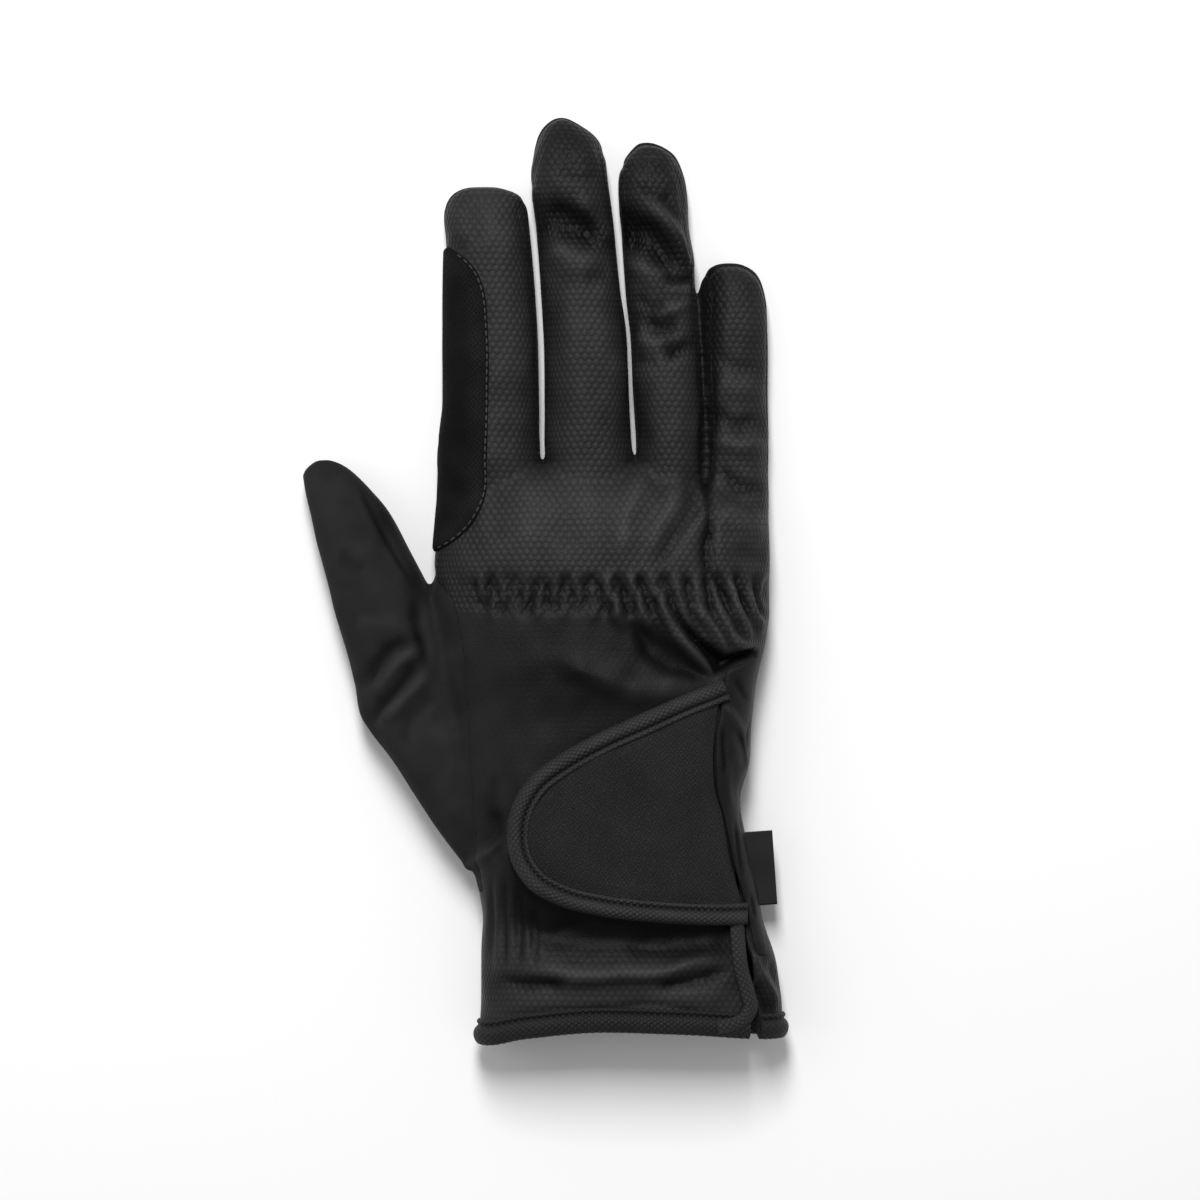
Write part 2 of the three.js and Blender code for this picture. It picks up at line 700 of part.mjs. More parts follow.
// Small folded label caught in the side seam
function labelSolid() {
  const shape = new THREE.Shape();
  shape.moveTo(-labelWidth / 2, -labelLength / 2);
  shape.lineTo(labelWidth / 2, -labelLength / 2);
  shape.lineTo(labelWidth / 2, labelLength / 2);
  shape.lineTo(-labelWidth / 2, labelLength / 2);
  const geometry = new THREE.ExtrudeGeometry(shape, { depth: labelCloth, bevelEnabled: false });
  geometry.rotateZ(labelTurn);
  const height = seamHeight + labelLift;
  geometry.translate(labelPlace.across * handWidth, labelPlace.along * handLength, height);
  return solidFrom(geometry).subtract(formSolid([hand], pieceGap));
}

const pieces = [
  ['back_panel', backPanel, black.mesh],
  ['side_panel', sidePanel, black.mesh],
  ['palm_panel', palmPanel, black.suede],
  ['thumb_panel', thumbPanel, black.suede],
  ...Object.entries(fourchettes).map(([name, outline]) => [name, cutFourchette(outline), black.mesh]),
  ['index_patch', indexPatch, black.patch],
  ['closure_tab', closureTab, black.knit],
  ['tab_binding', tabBinding, black.binding],
  ['hook_pad', hookPad, black.hook],
  ['side_strip', sideStrip, black.suede],
  ['hem_binding', hemBinding, black.binding],
  ['loop_label', labelSolid(), black.label],
];

const glove = new THREE.Group();
for (const [name, solid, finish] of pieces) {
  const mesh = new THREE.Mesh(geometryFrom(solid), new THREE.MeshStandardMaterial(finish));
  mesh.name = name;
  glove.add(mesh);
}

// Origin under the middle of the glove's box
const box = new THREE.Box3().setFromObject(glove);
const centre = box.getCenter(new THREE.Vector3());
glove.position.set(-centre.x, -centre.y, -box.min.z);
glove.updateMatrixWorld(true);

export default glove;
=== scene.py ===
# Looks of a black riding glove in mesh and suede, lying palm down with its back up.
# Shapes are worked out in millimetres, with the hem near y = 0, fingertips towards +y and the back
# of the hand towards +z, and are moved into the frame as they become objects.
import math

import bpy
import numpy as np
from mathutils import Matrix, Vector
from mathutils.bvhtree import BVHTree


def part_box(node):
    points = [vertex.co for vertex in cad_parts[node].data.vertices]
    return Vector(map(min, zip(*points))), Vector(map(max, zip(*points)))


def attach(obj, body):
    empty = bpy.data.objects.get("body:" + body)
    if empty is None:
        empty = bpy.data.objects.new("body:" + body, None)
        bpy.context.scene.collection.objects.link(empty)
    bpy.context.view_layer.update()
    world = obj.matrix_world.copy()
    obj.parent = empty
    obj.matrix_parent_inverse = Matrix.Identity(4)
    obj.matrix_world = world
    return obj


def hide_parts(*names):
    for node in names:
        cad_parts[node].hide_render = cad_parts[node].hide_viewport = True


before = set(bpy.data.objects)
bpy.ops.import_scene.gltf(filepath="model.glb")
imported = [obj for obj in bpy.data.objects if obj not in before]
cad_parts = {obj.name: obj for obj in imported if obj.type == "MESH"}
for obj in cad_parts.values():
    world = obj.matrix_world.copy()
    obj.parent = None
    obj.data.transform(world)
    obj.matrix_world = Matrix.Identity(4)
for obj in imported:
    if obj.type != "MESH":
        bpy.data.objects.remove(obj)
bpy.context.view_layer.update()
millimetre = 0.001

# Sizes that the part is made from
handLength = 144
handWidth = 84
handHeight = 27
middleLength = 87.5
seamHeight = 7.5
backRoundness = 2.5
palmRoundness = 3.6
widestShare = 0.4
hemRight = 0.5438     # right edge of the hand's section at the hem, as a share of its width

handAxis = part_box("side_panel")[1].x / millimetre - hemRight * handWidth
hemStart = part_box("back_panel")[1].y / millimetre - handLength - middleLength
shift = np.array([handAxis, hemStart, 0])


# Shapes in general

def smoothstep(low, high, value):
    share = np.clip((value - low) / (high - low), 0, 1)
    return share * share * (3 - 2 * share)


def hermite(share, a, b, slopeA, slopeB):
    s2, s3 = share ** 2, share ** 3
    return (2 * s3 - 3 * s2 + 1) * a + (s3 - 2 * s2 + share) * slopeA \
        + (3 * s2 - 2 * s3) * b + (s3 - s2) * slopeB


# Every column of a table but the first, at places along the first, with no overshoot
def tableAt(rows, at):
    rows = np.array(rows, float)
    place, values = rows[:, 0], rows[:, 1:]
    slope = np.diff(values, axis=0) / np.diff(place)[:, None]
    product = slope[1:] * slope[:-1]
    total = slope[1:] + slope[:-1]
    inner = np.where(product > 0, 2 * product / np.where(product > 0, total, 1), 0)
    tangent = np.vstack([slope[:1], inner, slope[-1:]])
    i = np.clip(np.searchsorted(place, at) - 1, 0, len(place) - 2)
    step = (place[i + 1] - place[i])[:, None]
    share = np.clip((np.asarray(at, float) - place[i])[:, None] / step, 0, 1)
    return hermite(share, values[i], values[i + 1], tangent[i] * step, tangent[i + 1] * step)


# A smooth line through the points, sampled at even steps
def smoothLine(points, spacing):
    points = np.array(points, float)
    at = np.concatenate([[0], np.cumsum(np.linalg.norm(np.diff(points, axis=0), axis=1))])
    tangent = np.gradient(points, at, axis=0) if len(points) > 2 else \
        np.repeat([(points[1] - points[0]) / at[1]], 2, axis=0)
    dense = np.linspace(0, at[-1], max(8, int(at[-1] / spacing) * 6))
    i = np.clip(np.searchsorted(at, dense) - 1, 0, len(at) - 2)
    step = (at[i + 1] - at[i])[:, None]
    share = (dense - at[i])[:, None] / step
    curve = hermite(share, points[i], points[i + 1], tangent[i] * step, tangent[i + 1] * step)
    length = np.concatenate([[0], np.cumsum(np.linalg.norm(np.diff(curve, axis=0), axis=1))])
    even = np.linspace(0, length[-1], max(2, round(length[-1] / spacing) + 1))
    return np.stack([np.interp(even, length, curve[:, k]) for k in range(curve.shape[1])], axis=1)


# Distance to a line, the side it lies on (+1 is left) and the place along it from 0 to 1
def lineField(xy, line):
    best = np.full(len(xy), 1e9)
    side = np.zeros(len(xy))
    along = np.zeros(len(xy))
    steps = np.linalg.norm(np.diff(line, axis=0), axis=1)
    starts = np.concatenate([[0], np.cumsum(steps)])
    for a, b, start, step in zip(line[:-1], line[1:], starts, steps):
        edge, offset = b - a, xy - a
        share = np.clip(offset @ edge / (edge @ edge), 0, 1)
        away = offset - share[:, None] * edge
        distance = np.hypot(away[:, 0], away[:, 1])
        closer = distance < best
        best[closer] = distance[closer]
        cross = edge[0] * offset[:, 1] - edge[1] * offset[:, 0]
        side[closer] = np.sign(cross[closer])
        along[closer] = (start + share * step)[closer] / starts[-1]
    return best, side, along


# Distance to a closed outline, positive inside it
def insideOutline(xy, outline):
    outline = np.array(outline, float)
    distance, _, _ = lineField(xy, np.vstack([outline, outline[:1]]))
    crossings = np.zeros(len(xy), int)
    for a, b in zip(outline, np.roll(outline, -1, axis=0)):
        spans = (a[1] > xy[:, 1]) != (b[1] > xy[:, 1])
        rise = b[1] - a[1] if b[1] != a[1] else 1
        crossings += spans & (xy[:, 0] < a[0] + (xy[:, 1] - a[1]) / rise * (b[0] - a[0]))
    return np.where(crossings % 2 == 1, distance, -distance)


# Smooth waves of about the given size, between about -1 and 1
def clothNoise(points, size, seed):
    random = np.random.default_rng(seed)
    waves = 10
    total = np.zeros(len(points))
    for _ in range(waves):
        direction = random.normal(size=3)
        direction *= 2 * math.pi / (np.linalg.norm(direction) * size * random.uniform(0.7, 1.6))
        total += np.sin(points @ direction + random.uniform(0, 2 * math.pi))
    return total / math.sqrt(waves)


def vertexNormals(points, faces):
    a, b, c = (points[faces[:, k]] for k in range(3))
    flat = np.cross(b - a, c - a)
    normals = np.stack([
        sum(np.bincount(faces[:, k], flat[:, axis], len(points)) for k in range(3))
        for axis in range(3)
    ], axis=1)
    return normals / np.maximum(np.linalg.norm(normals, axis=1), 1e-12)[:, None]


# Moves each point towards the mean of its neighbours
def relax(points, faces, rounds, strength=0.5):
    edges = np.vstack([faces[:, [0, 1]], faces[:, [1, 2]], faces[:, [2, 0]]])
    edges = np.unique(np.sort(edges, axis=1), axis=0)
    ends, others = np.concatenate([edges, edges[:, ::-1]]).T
    count = np.bincount(ends, minlength=len(points))[:, None]
    for _ in range(rounds):
        mean = np.stack([
            np.bincount(ends, points[others, k], len(points)) for k in range(points.shape[1])
        ], axis=1) / count
        points = points + (mean - points) * strength
    return points


# The part of a mesh where the field is positive, its edge moved onto the field's zero line
def cutMesh(faces, field, values):
    inside = field > 0
    count = inside[faces].sum(axis=1)
    kept = [faces[count == 3]]
    pairs = []
    for number, wanted in ((1, True), (2, False)):
        some = faces[count == number]
        first = np.argmax(inside[some] == wanted, axis=1)
        order = (first[:, None] + np.arange(3)) % 3
        some = np.take_along_axis(some, order, axis=1)
        pairs.append(some)
    ends = np.vstack([pairs[0][:, [0, 1]], pairs[0][:, [0, 2]], pairs[1][:, [0, 1]], pairs[1][:, [0, 2]]])
    unique, back = np.unique(np.sort(ends, axis=1), axis=0, return_inverse=True)
    back = back.reshape(-1) + len(values)
    a, b = field[unique[:, 0]], field[unique[:, 1]]
    share = (a / (a - b))[:, None]
    between = values[unique[:, 0]] * (1 - share) + values[unique[:, 1]] * share
    one, two = len(pairs[0]), len(pairs[1])
    ab, ac = back[:one], back[one:2 * one]
    kept.append(np.stack([pairs[0][:, 0], ab, ac], axis=1))
    ab, ac = back[2 * one:2 * one + two], back[2 * one + two:]
    kept.append(np.stack([ab, pairs[1][:, 1], pairs[1][:, 2]], axis=1))
    kept.append(np.stack([ab, pairs[1][:, 2], ac], axis=1))
    faces = np.vstack(kept)
    used, faces = np.unique(faces, return_inverse=True)
    return faces.reshape(-1, 3), np.vstack([values, between])[used]


# Drops loose scraps that have fewer faces than the smallest number
def largestOnly(faces, values, smallest):
    group = np.arange(len(values))
    while True:
        low = group[faces].min(axis=1)
        after = group.copy()
        for k in range(3):
            np.minimum.at(after, faces[:, k], low)
        after = after[after]
        if (after == group).all():
            break
        group = after
    size = np.bincount(group[faces[:, 0]], minlength=len(values))
    faces = faces[size[group[faces[:, 0]]] >= smallest]
    used, faces = np.unique(faces, return_inverse=True)
    return faces.reshape(-1, 3), values[used]


# A closed sheet between the points and their inner copies
def thicken(points, faces, inner):
    edges = np.vstack([faces[:, [0, 1]], faces[:, [1, 2]], faces[:, [2, 0]]])
    key = edges[:, 0] * len(points) + edges[:, 1]
    other = edges[:, 1] * len(points) + edges[:, 0]
    rim = edges[~np.isin(key, other)]
    n = len(points)
    sides = np.vstack([
        np.stack([rim[:, 1], rim[:, 0], rim[:, 0] + n], axis=1),
        np.stack([rim[:, 1], rim[:, 0] + n, rim[:, 1] + n], axis=1),
    ])
    return np.vstack([points, inner]), np.vstack([faces, faces[:, ::-1] + n, sides])


# A mesh object in the frame from points in millimetres
def newObject(name, points, faces, attributes=None, cloth=None):
    mesh = bpy.data.meshes.new(name)
    mesh.from_pydata(((points + shift) * millimetre).tolist(), [], [list(face) for face in faces])
    mesh.update()
    mesh.shade_smooth()
    corner = np.zeros(len(mesh.loops), int)
    mesh.loops.foreach_get("vertex_index", corner)
    if cloth is not None:
        layer = mesh.uv_layers.new(name="cloth")
        layer.data.foreach_set("uv", cloth[corner].ravel())
    for key, value in {"tone": np.ones(len(points)), "emboss": np.ones(len(points)),
                       **(attributes or {})}.items():
        attribute = mesh.attributes.new(key, "FLOAT", "POINT")
        attribute.data.foreach_set("value", value.astype(np.float32))
    thing = bpy.data.objects.new(name, mesh)
    bpy.context.scene.collection.objects.link(thing)
    return thing


def dress(thing, slot, material, *nodes):
    thing.data.materials.append(material)
    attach(thing, "root")
    if nodes:
        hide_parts(*nodes)
    print(thing.name, len(thing.data.polygons), "faces")


# The glove's form

# Sections of a tube: place along it, then its left, right, bottom and top as shares of its sizes

tubes = {
    "hand": {
        "start": (0, 0), "lean": 0, "length": handLength, "width": handWidth, "height": handHeight,
        "rows": [
            (-0.06, -0.36, 0.548, 0.07, 0.85),
            (0, -0.36, 0.545, 0.07, 0.86),
            (0.073, -0.354, 0.54, 0.055, 0.885),
            (0.142, -0.354, 0.524, -0.03, 0.92),
            (0.212, -0.348, 0.485, -0.04, 0.88),
            (0.281, -0.369, 0.464, -0.04, 0.9),
            (0.351, -0.402, 0.435, -0.04, 0.93),
            (0.42, -0.429, 0.417, -0.04, 0.96),
            (0.49, -0.446, 0.446, -0.04, 0.98),
            (0.559, -0.464, 0.452, -0.04, 0.99),
            (0.628, -0.476, 0.467, -0.04, 1),
            (0.698, -0.488, 0.494, -0.04, 0.99),
            (0.767, -0.497, 0.506, -0.04, 0.97),
            (0.837, -0.492, 0.506, -0.04, 0.95),
            (0.906, -0.482, 0.5, -0.04, 0.88),
            (0.95, -0.474, 0.41, -0.04, 0.79),
            (0.98, -0.472, 0.33, -0.02, 0.68),
            (1, -0.472, 0.3, 0, 0.54),
        ],
    },
    "index": {
        "start": (-0.321, 1), "lean": -0.007, "length": 70, "width": 21.5, "height": 18,
        "rows": [
            (-0.264, -0.436, 0.436, -0.04, 0.9),
            (-0.121, -0.53, 0.532, -0.05, 1.02),
            (0, -0.585, 0.581, -0.05, 1.06),
            (0.12, -0.545, 0.585, -0.05, 1.02),
            (0.229, -0.506, 0.587, -0.05, 0.99),
            (0.443, -0.501, 0.58, -0.05, 0.96),
            (0.614, -0.497, 0.549, -0.05, 0.92),
            (0.786, -0.482, 0.507, -0.04, 0.87),
            (0.896, -0.514, 0.474, 0, 0.79),
            (0.943, -0.478, 0.452, 0.03, 0.72),
            (0.971, -0.419, 0.371, 0.08, 0.64),
            (0.989, -0.337, 0.244, 0.15, 0.55),
            (1, -0.233, 0.116, 0.22, 0.46),
        ],
    },
    "middle": {
        "start": (-0.024, 1), "lean": -0.057, "length": middleLength, "width": 21, "height": 18.5,
        "rows": [
            (-0.269, -0.445, 0.329, -0.04, 0.9),
            (-0.097, -0.523, 0.477, -0.05, 1.02),
            (0, -0.524, 0.524, -0.05, 1.06),
            (0.183, -0.492, 0.52, -0.05, 1),
            (0.354, -0.463, 0.525, -0.05, 0.97),
            (0.526, -0.458, 0.482, -0.05, 0.92),
            (0.697, -0.477, 0.452, -0.05, 0.86),
            (0.806, -0.511, 0.418, -0.03, 0.86),
            (0.891, -0.454, 0.403, 0.01, 0.79),
            (0.943, -0.395, 0.308, 0.05, 0.7),
            (0.977, -0.303, 0.126, 0.12, 0.58),
            (0.994, -0.204, 0.011, 0.18, 0.49),
            (1, -0.155, -0.048, 0.22, 0.44),
        ],
    },
    "ring": {
        "start": (0.214, 1), "lean": -0.062, "length": 81.25, "width": 17.5, "height": 17,
        "rows": [
            (-0.289, -0.425, 0.289, -0.04, 0.9),
            (-0.105, -0.487, 0.427, -0.05, 1.02),
            (0, -0.486, 0.471, -0.05, 1.06),
            (0.197, -0.487, 0.485, -0.05, 1),
            (0.382, -0.477, 0.495, -0.05, 0.94),
            (0.529, -0.506, 0.494, -0.05, 0.92),
            (0.64, -0.517, 0.497, -0.05, 0.9),
            (0.751, -0.528, 0.472, -0.04, 0.86),
            (0.868, -0.524, 0.448, 0, 0.86),
            (0.923, -0.465, 0.392, 0.03, 0.77),
            (0.96, -0.369, 0.317, 0.09, 0.65),
            (0.985, -0.262, 0.167, 0.16, 0.54),
            (1, -0.187, -0.001, 0.23, 0.44),
        ],
    },
    "little": {
        "start": (0.411, 0.889), "lean": -0.03, "length": 67, "width": 17, "height": 14.5,
        "rows": [
            (-0.336, -0.422, 0.343, -0.04, 0.9),
            (-0.112, -0.484, 0.443, -0.05, 1.06),
            (0.112, -0.516, 0.454, -0.05, 1.04),
            (0.299, -0.509, 0.447, -0.05, 0.98),
            (0.478, -0.503, 0.453, -0.05, 0.95),
            (0.701, -0.52, 0.48, -0.05, 0.95),
            (0.836, -0.519, 0.481, -0.03, 0.9),
            (0.925, -0.479, 0.418, 0.02, 0.8),
            (0.963, -0.431, 0.334, 0.07, 0.69),
            (0.989, -0.31, 0.205, 0.15, 0.57),
            (1, -0.206, 0.088, 0.23, 0.46),
        ],
    },
    "thumb": {
        "start": (-0.381, 0.299), "lean": -0.361, "length": 102.5, "width": 24, "height": 20,
        "rows": [
            (0, -0.042, 0.042, 0.3, 0.5),
            (0.059, -0.149, 0.194, 0.1, 0.75),
            (0.146, -0.274, 0.351, 0.0, 0.9),
            (0.263, -0.417, 0.489, -0.04, 1),
            (0.38, -0.58, 0.587, -0.05, 1.0),
            (0.439, -0.532, 0.614, -0.05, 0.98),
            (0.527, -0.49, 0.656, -0.05, 0.97),
            (0.615, -0.469, 0.666, -0.05, 0.95),
            (0.702, -0.427, 0.604, -0.05, 0.92),
            (0.79, -0.396, 0.541, -0.03, 0.87),
            (0.878, -0.334, 0.479, 0, 0.8),
            (0.937, -0.296, 0.361, 0.05, 0.71),
            (0.966, -0.271, 0.281, 0.1, 0.63),
            (0.99, -0.14, 0.183, 0.2, 0.52),
            (1, -0.062, 0.094, 0.28, 0.44),
        ],
    },
}

form = {
    "sides": 120,        # round each tube, before it is remeshed
    "step": 1.0,         # along each tube, in mm
    "voxel": 0.68,
    "smoothing": 7,
    "softening": 2,
    "clothThickness": 1.1,
    "rests": (0.3, 2.5),     # heights below and above which the cloth is flat and fully folded
    # the step where the little finger leaves the palm is eased away
    "easeRounds": 60,
    "easeAt": (37, 107),
    "easeReach": (14, 10),
    "easeBelow": (9, 4),
}


# Middle, half width, widest height and reach up and down of a tube at each y
def sectionAt(tube, y):
    along = (np.asarray(y, float) - tube["start"][1] * handLength) / tube["length"]
    left, right, bottom, top = tableAt(tube["rows"], along).T
    axis = tube["start"][0] * handWidth + tube["lean"] * tube["length"] * along
    left, right = axis + left * tube["width"], axis + right * tube["width"]
    low, high = bottom * tube["height"], top * tube["height"]
    widest = low + (high - low) * widestShare
    return (left + right) / 2, (right - left) / 2, widest, high - widest, widest - low


# x and z of a section at angles from +x over the back
def roundSection(section, angle):
    mid, half, widest, up, down = section
    c, s = np.cos(angle), np.sin(angle)
    power = 2 / np.where(s >= 0, backRoundness, palmRoundness)
    x = mid + half * np.sign(c) * np.abs(c) ** power
    z = widest + np.where(s >= 0, up, down) * np.sign(s) * np.abs(s) ** power
    return x, np.maximum(z, 0)


# Height of the hand's plain back, without folds
def backHeight(x, y):
    mid, half, widest, up, _ = sectionAt(tubes["hand"], y)
    side = np.clip(np.abs(x - mid) / half, 0, 1)
    return widest + up * (1 - side ** backRoundness) ** (1 / backRoundness)


def loftTube(tube):
    first, last = tube["rows"][0][0], tube["rows"][-1][0]
    count = int((last - first) * tube["length"] / form["step"])
    along = np.linspace(first, last, count)
    y = tube["start"][1] * handLength + along * tube["length"]
    angle = np.arange(form["sides"]) * 2 * math.pi / form["sides"]
    section = [column[:, None] for column in sectionAt(tube, y)]
    x, z = roundSection(section, angle[None, :])
    points = np.stack([x, np.repeat(y[:, None], form["sides"], axis=1), z], axis=2).reshape(-1, 3)
    return points, gridFaces(count, form["sides"], closed=True, capped=True)


# Quads over a grid of points, row by row; closed joins the last column to the first
def gridFaces(rows, sides, closed, capped=False):
    faces = []
    for r in range(rows - 1):
        for i in range(sides if closed else sides - 1):
            j = (i + 1) % sides
            a, b = r * sides + i, r * sides + j
            faces.append((a, a + sides, b + sides, b))
    if capped:
        faces.append(tuple(range(sides)))
        faces.append(tuple(range((rows - 1) * sides, rows * sides))[::-1])
    return faces


# Gaps between the fingers: the line of each from the crotch up, as x and y, the height of its
# crotch, and how far its fingers are kept apart beyond their own sections
fingerGaps = {
    "indexMiddle": {
        "line": [(-13.4, 140), (-13.5, 151), (-13.9, 160), (-14.1, 175), (-14.7, 187), (-16.4, 205),
                 (-17.2, 212), (-17.2, 240)],
        "crotch": 144.5, "apart": 0.1,
    },
    "middleRing": {
        "line": [(9.6, 140), (9, 149), (8.3, 160), (7.4, 175), (6.2, 187), (4.6, 203), (3.7, 216),
                 (3.7, 240)],
        "crotch": 144, "apart": 0.75,
    },
    "ringLittle": {
        "line": [(27, 120), (26.2, 135), (25.6, 150), (24.9, 165), (24.5, 180), (24.2, 196), (24.2, 240)],
        "crotch": 130, "apart": 0.7,
    },
}
fingerSpread = {"over": 6, "core": 0.35, "apart": 2.6}


# Moves the fingers apart, or back again, so that the narrow gaps outlast the remesh
def spreadFingers(points, backAgain=False):
    core = fingerSpread["core"]
    gaps = list(fingerGaps.values())
    ramps = [smoothstep(0, fingerSpread["over"], points[:, 1] - gap["crotch"]) for gap in gaps]
    amounts = [ramp * fingerSpread["apart"] / 2 for ramp in ramps]
    moved = points.copy()
    for i, gap in enumerate(gaps):
        middle = tableAt(byHeight(gap["line"]), points[:, 1])[:, 0]
        amount = amounts[i]
        if backAgain:
            middle = middle + sum(amounts[:i]) - sum(amounts[i + 1:])
            kept = ramps[i] * gap["apart"] / 2
            offset = points[:, 0] - middle
            share = np.clip(offset / (core + amount), -1, 1)
            moved[:, 0] -= share * (amount - kept)
        else:
            moved[:, 0] += amount * np.clip((points[:, 0] - middle) / core, -1, 1)
    return moved


def byHeight(line):
    return [(y, x) for x, y in line]


# All tubes as one closed skin: its points, triangles and normals
def gloveForm():
    points, faces, start = [], [], 0
    for tube in tubes.values():
        some, quads = loftTube(tube)
        points.append(some)
        faces += [tuple(i + start for i in quad) for quad in quads]
        start += len(some)
    mesh = bpy.data.meshes.new("form")
    mesh.from_pydata(spreadFingers(np.vstack(points)).tolist(), [], faces)
    thing = bpy.data.objects.new("form", mesh)
    bpy.context.scene.collection.objects.link(thing)
    remesh = thing.modifiers.new("remesh", "REMESH")
    remesh.mode = "VOXEL"
    remesh.voxel_size = form["voxel"]
    depsgraph = bpy.context.evaluated_depsgraph_get()
    skin = thing.evaluated_get(depsgraph).to_mesh()
    skin.calc_loop_triangles()
    points = np.zeros(len(skin.vertices) * 3)
    skin.vertices.foreach_get("co", points)
    triangles = np.zeros(len(skin.loop_triangles) * 3, int)
    skin.loop_triangles.foreach_get("vertices", triangles)
    points, triangles = points.reshape(-1, 3), triangles.reshape(-1, 3)
    bpy.data.objects.remove(thing)
    points = spreadFingers(relax(points, triangles, form["smoothing"]), backAgain=True)
    away = (points[:, :2] - form["easeAt"]) / form["easeReach"]
    share = np.exp(-(away ** 2).sum(axis=1)) * smoothstep(*form["easeBelow"], points[:, 2])
    points = points + (relax(points, triangles, form["easeRounds"]) - points) * share[:, None]
    a, b, c = (points[triangles[:, k]] for k in range(3))
    if np.einsum("ij,ij->i", a, np.cross(b, c)).sum() < 0:
        triangles = triangles[:, ::-1]
    return points, triangles, vertexNormals(points, triangles)


base, skinFaces, baseNormals = gloveForm()
print("form:", len(base), "points,", len(skinFaces), "triangles")

# Seams between the panels

# Outlines seen from above, in mm from the hem's middle

seams = {
    "gap": 0.05,
    "groove": 0.38,
    "grooveReach": 0.85,
    "plainSeam": 0.2,        # share of the groove where the thumb's suede meets the back
    "plainBelow": 112,
    "plainFade": 2,
    "plainLeftOf": (-24, -28),
    "roll": 0.05,            # swell of the cloth beside a groove
    "rollAt": 1.9,
    "rollReach": 0.8,
    "thumb": [
        (-43.8, 120.5), (-41, 116), (-36.3, 110.4), (-33.5, 95.5), (-32.5, 75.5), (-31.5, 58),
        (-30, 45), (-29, 38), (-40, 35.6), (-80, 35.6), (-80, 150.5), (-55, 150.5),
    ],
    "side": [
        (24.3, 200.4), (25, 185.5), (26, 150.5), (27.2, 129.3), (29.5, 115.5), (31.75, 100.5),
        (31.25, 87.8), (32.6, 60.5), (36.1, 29.2), (37.7, 10.5), (38.2, -10), (90, -10), (90, 260),
    ],
    "slitLeft": [(31, 88), (31.9, 60.5), (34.6, 32), (35.9, 20.5), (36.6, 12), (37.4, 4), (37.6, -10)],
    "slitRight": [(31.8, 88), (33.3, 60.5), (36.5, 29), (38, 20.5), (39.6, 12), (40, 4), (40, -10)],
    "hem": [(-60, 0.7), (-29, 0.7), (-18.5, 2.7), (0.8, 4.5), (21, 3.9), (44.5, 2.4), (70, 2.4)],
    "fourchettes": {
        "fourchette_index_middle": ("index", "middle", 140.4),
        "fourchette_middle_ring": ("middle", "ring", 140.4),
        "fourchette_ring_little": ("ring", "little", 129.6),
    },
    "fourchetteWidth": 8,
    "fourchetteEnd": 8,
    "fourchetteInset": 0.3,
}
slitOutline = seams["slitLeft"] + seams["slitRight"][::-1]


def axisOf(tube, y):
    along = (y - tube["start"][1] * handLength) / tube["length"]
    return tube["start"][0] * handWidth + tube["lean"] * tube["length"] * along


def fourchetteOutline(left, right, root):
    outline = []
    for name, side in ((left, 1), (right, -1)):
        tube = tubes[name]
        top = tube["start"][1] * handLength + tube["length"] - seams["fourchetteEnd"]
        inset = side * seams["fourchetteInset"] * tube["width"]
        ends = [(axisOf(tube, y) + inset, y) for y in (root, top)]
        outline += ends[::-1] if side == 1 else ends
    return outline


# How far inside each panel every point lies
def panelFields(points):
    xy = points[:, :2]
    half = seams["gap"] / 2
    above = points[:, 2] - seamHeight
    thumb = insideOutline(xy, seams["thumb"])
    side = insideOutline(xy, seams["side"])
    slit = insideOutline(xy, slitOutline)
    fields = {}
    strips = []
    for name, facts in seams["fourchettes"].items():
        flat = insideOutline(xy, fourchetteOutline(*facts))
        strip = np.minimum(flat, seams["fourchetteWidth"] / 2 - np.abs(above))
        fields[name] = strip - half
        strips.append(-strip - half)
    body = np.minimum(-thumb - half, np.min(strips, axis=0))
    back = np.minimum.reduce([body, above - half, -slit - half])
    fields["thumb_panel"] = thumb - half
    fields["palm_panel"] = np.minimum(body, -above - half)
    fields["side_panel"] = np.minimum(back, side - half)
    fields["back_panel"] = np.minimum(back, -side - half)
    return fields


def aboveHem(points):
    return points[:, 1] - tableAt(seams["hem"], points[:, 0])[:, 0]


# Folds, gathers and dents

# Each row: rise, reach to its left and to its right (going along it), then its line

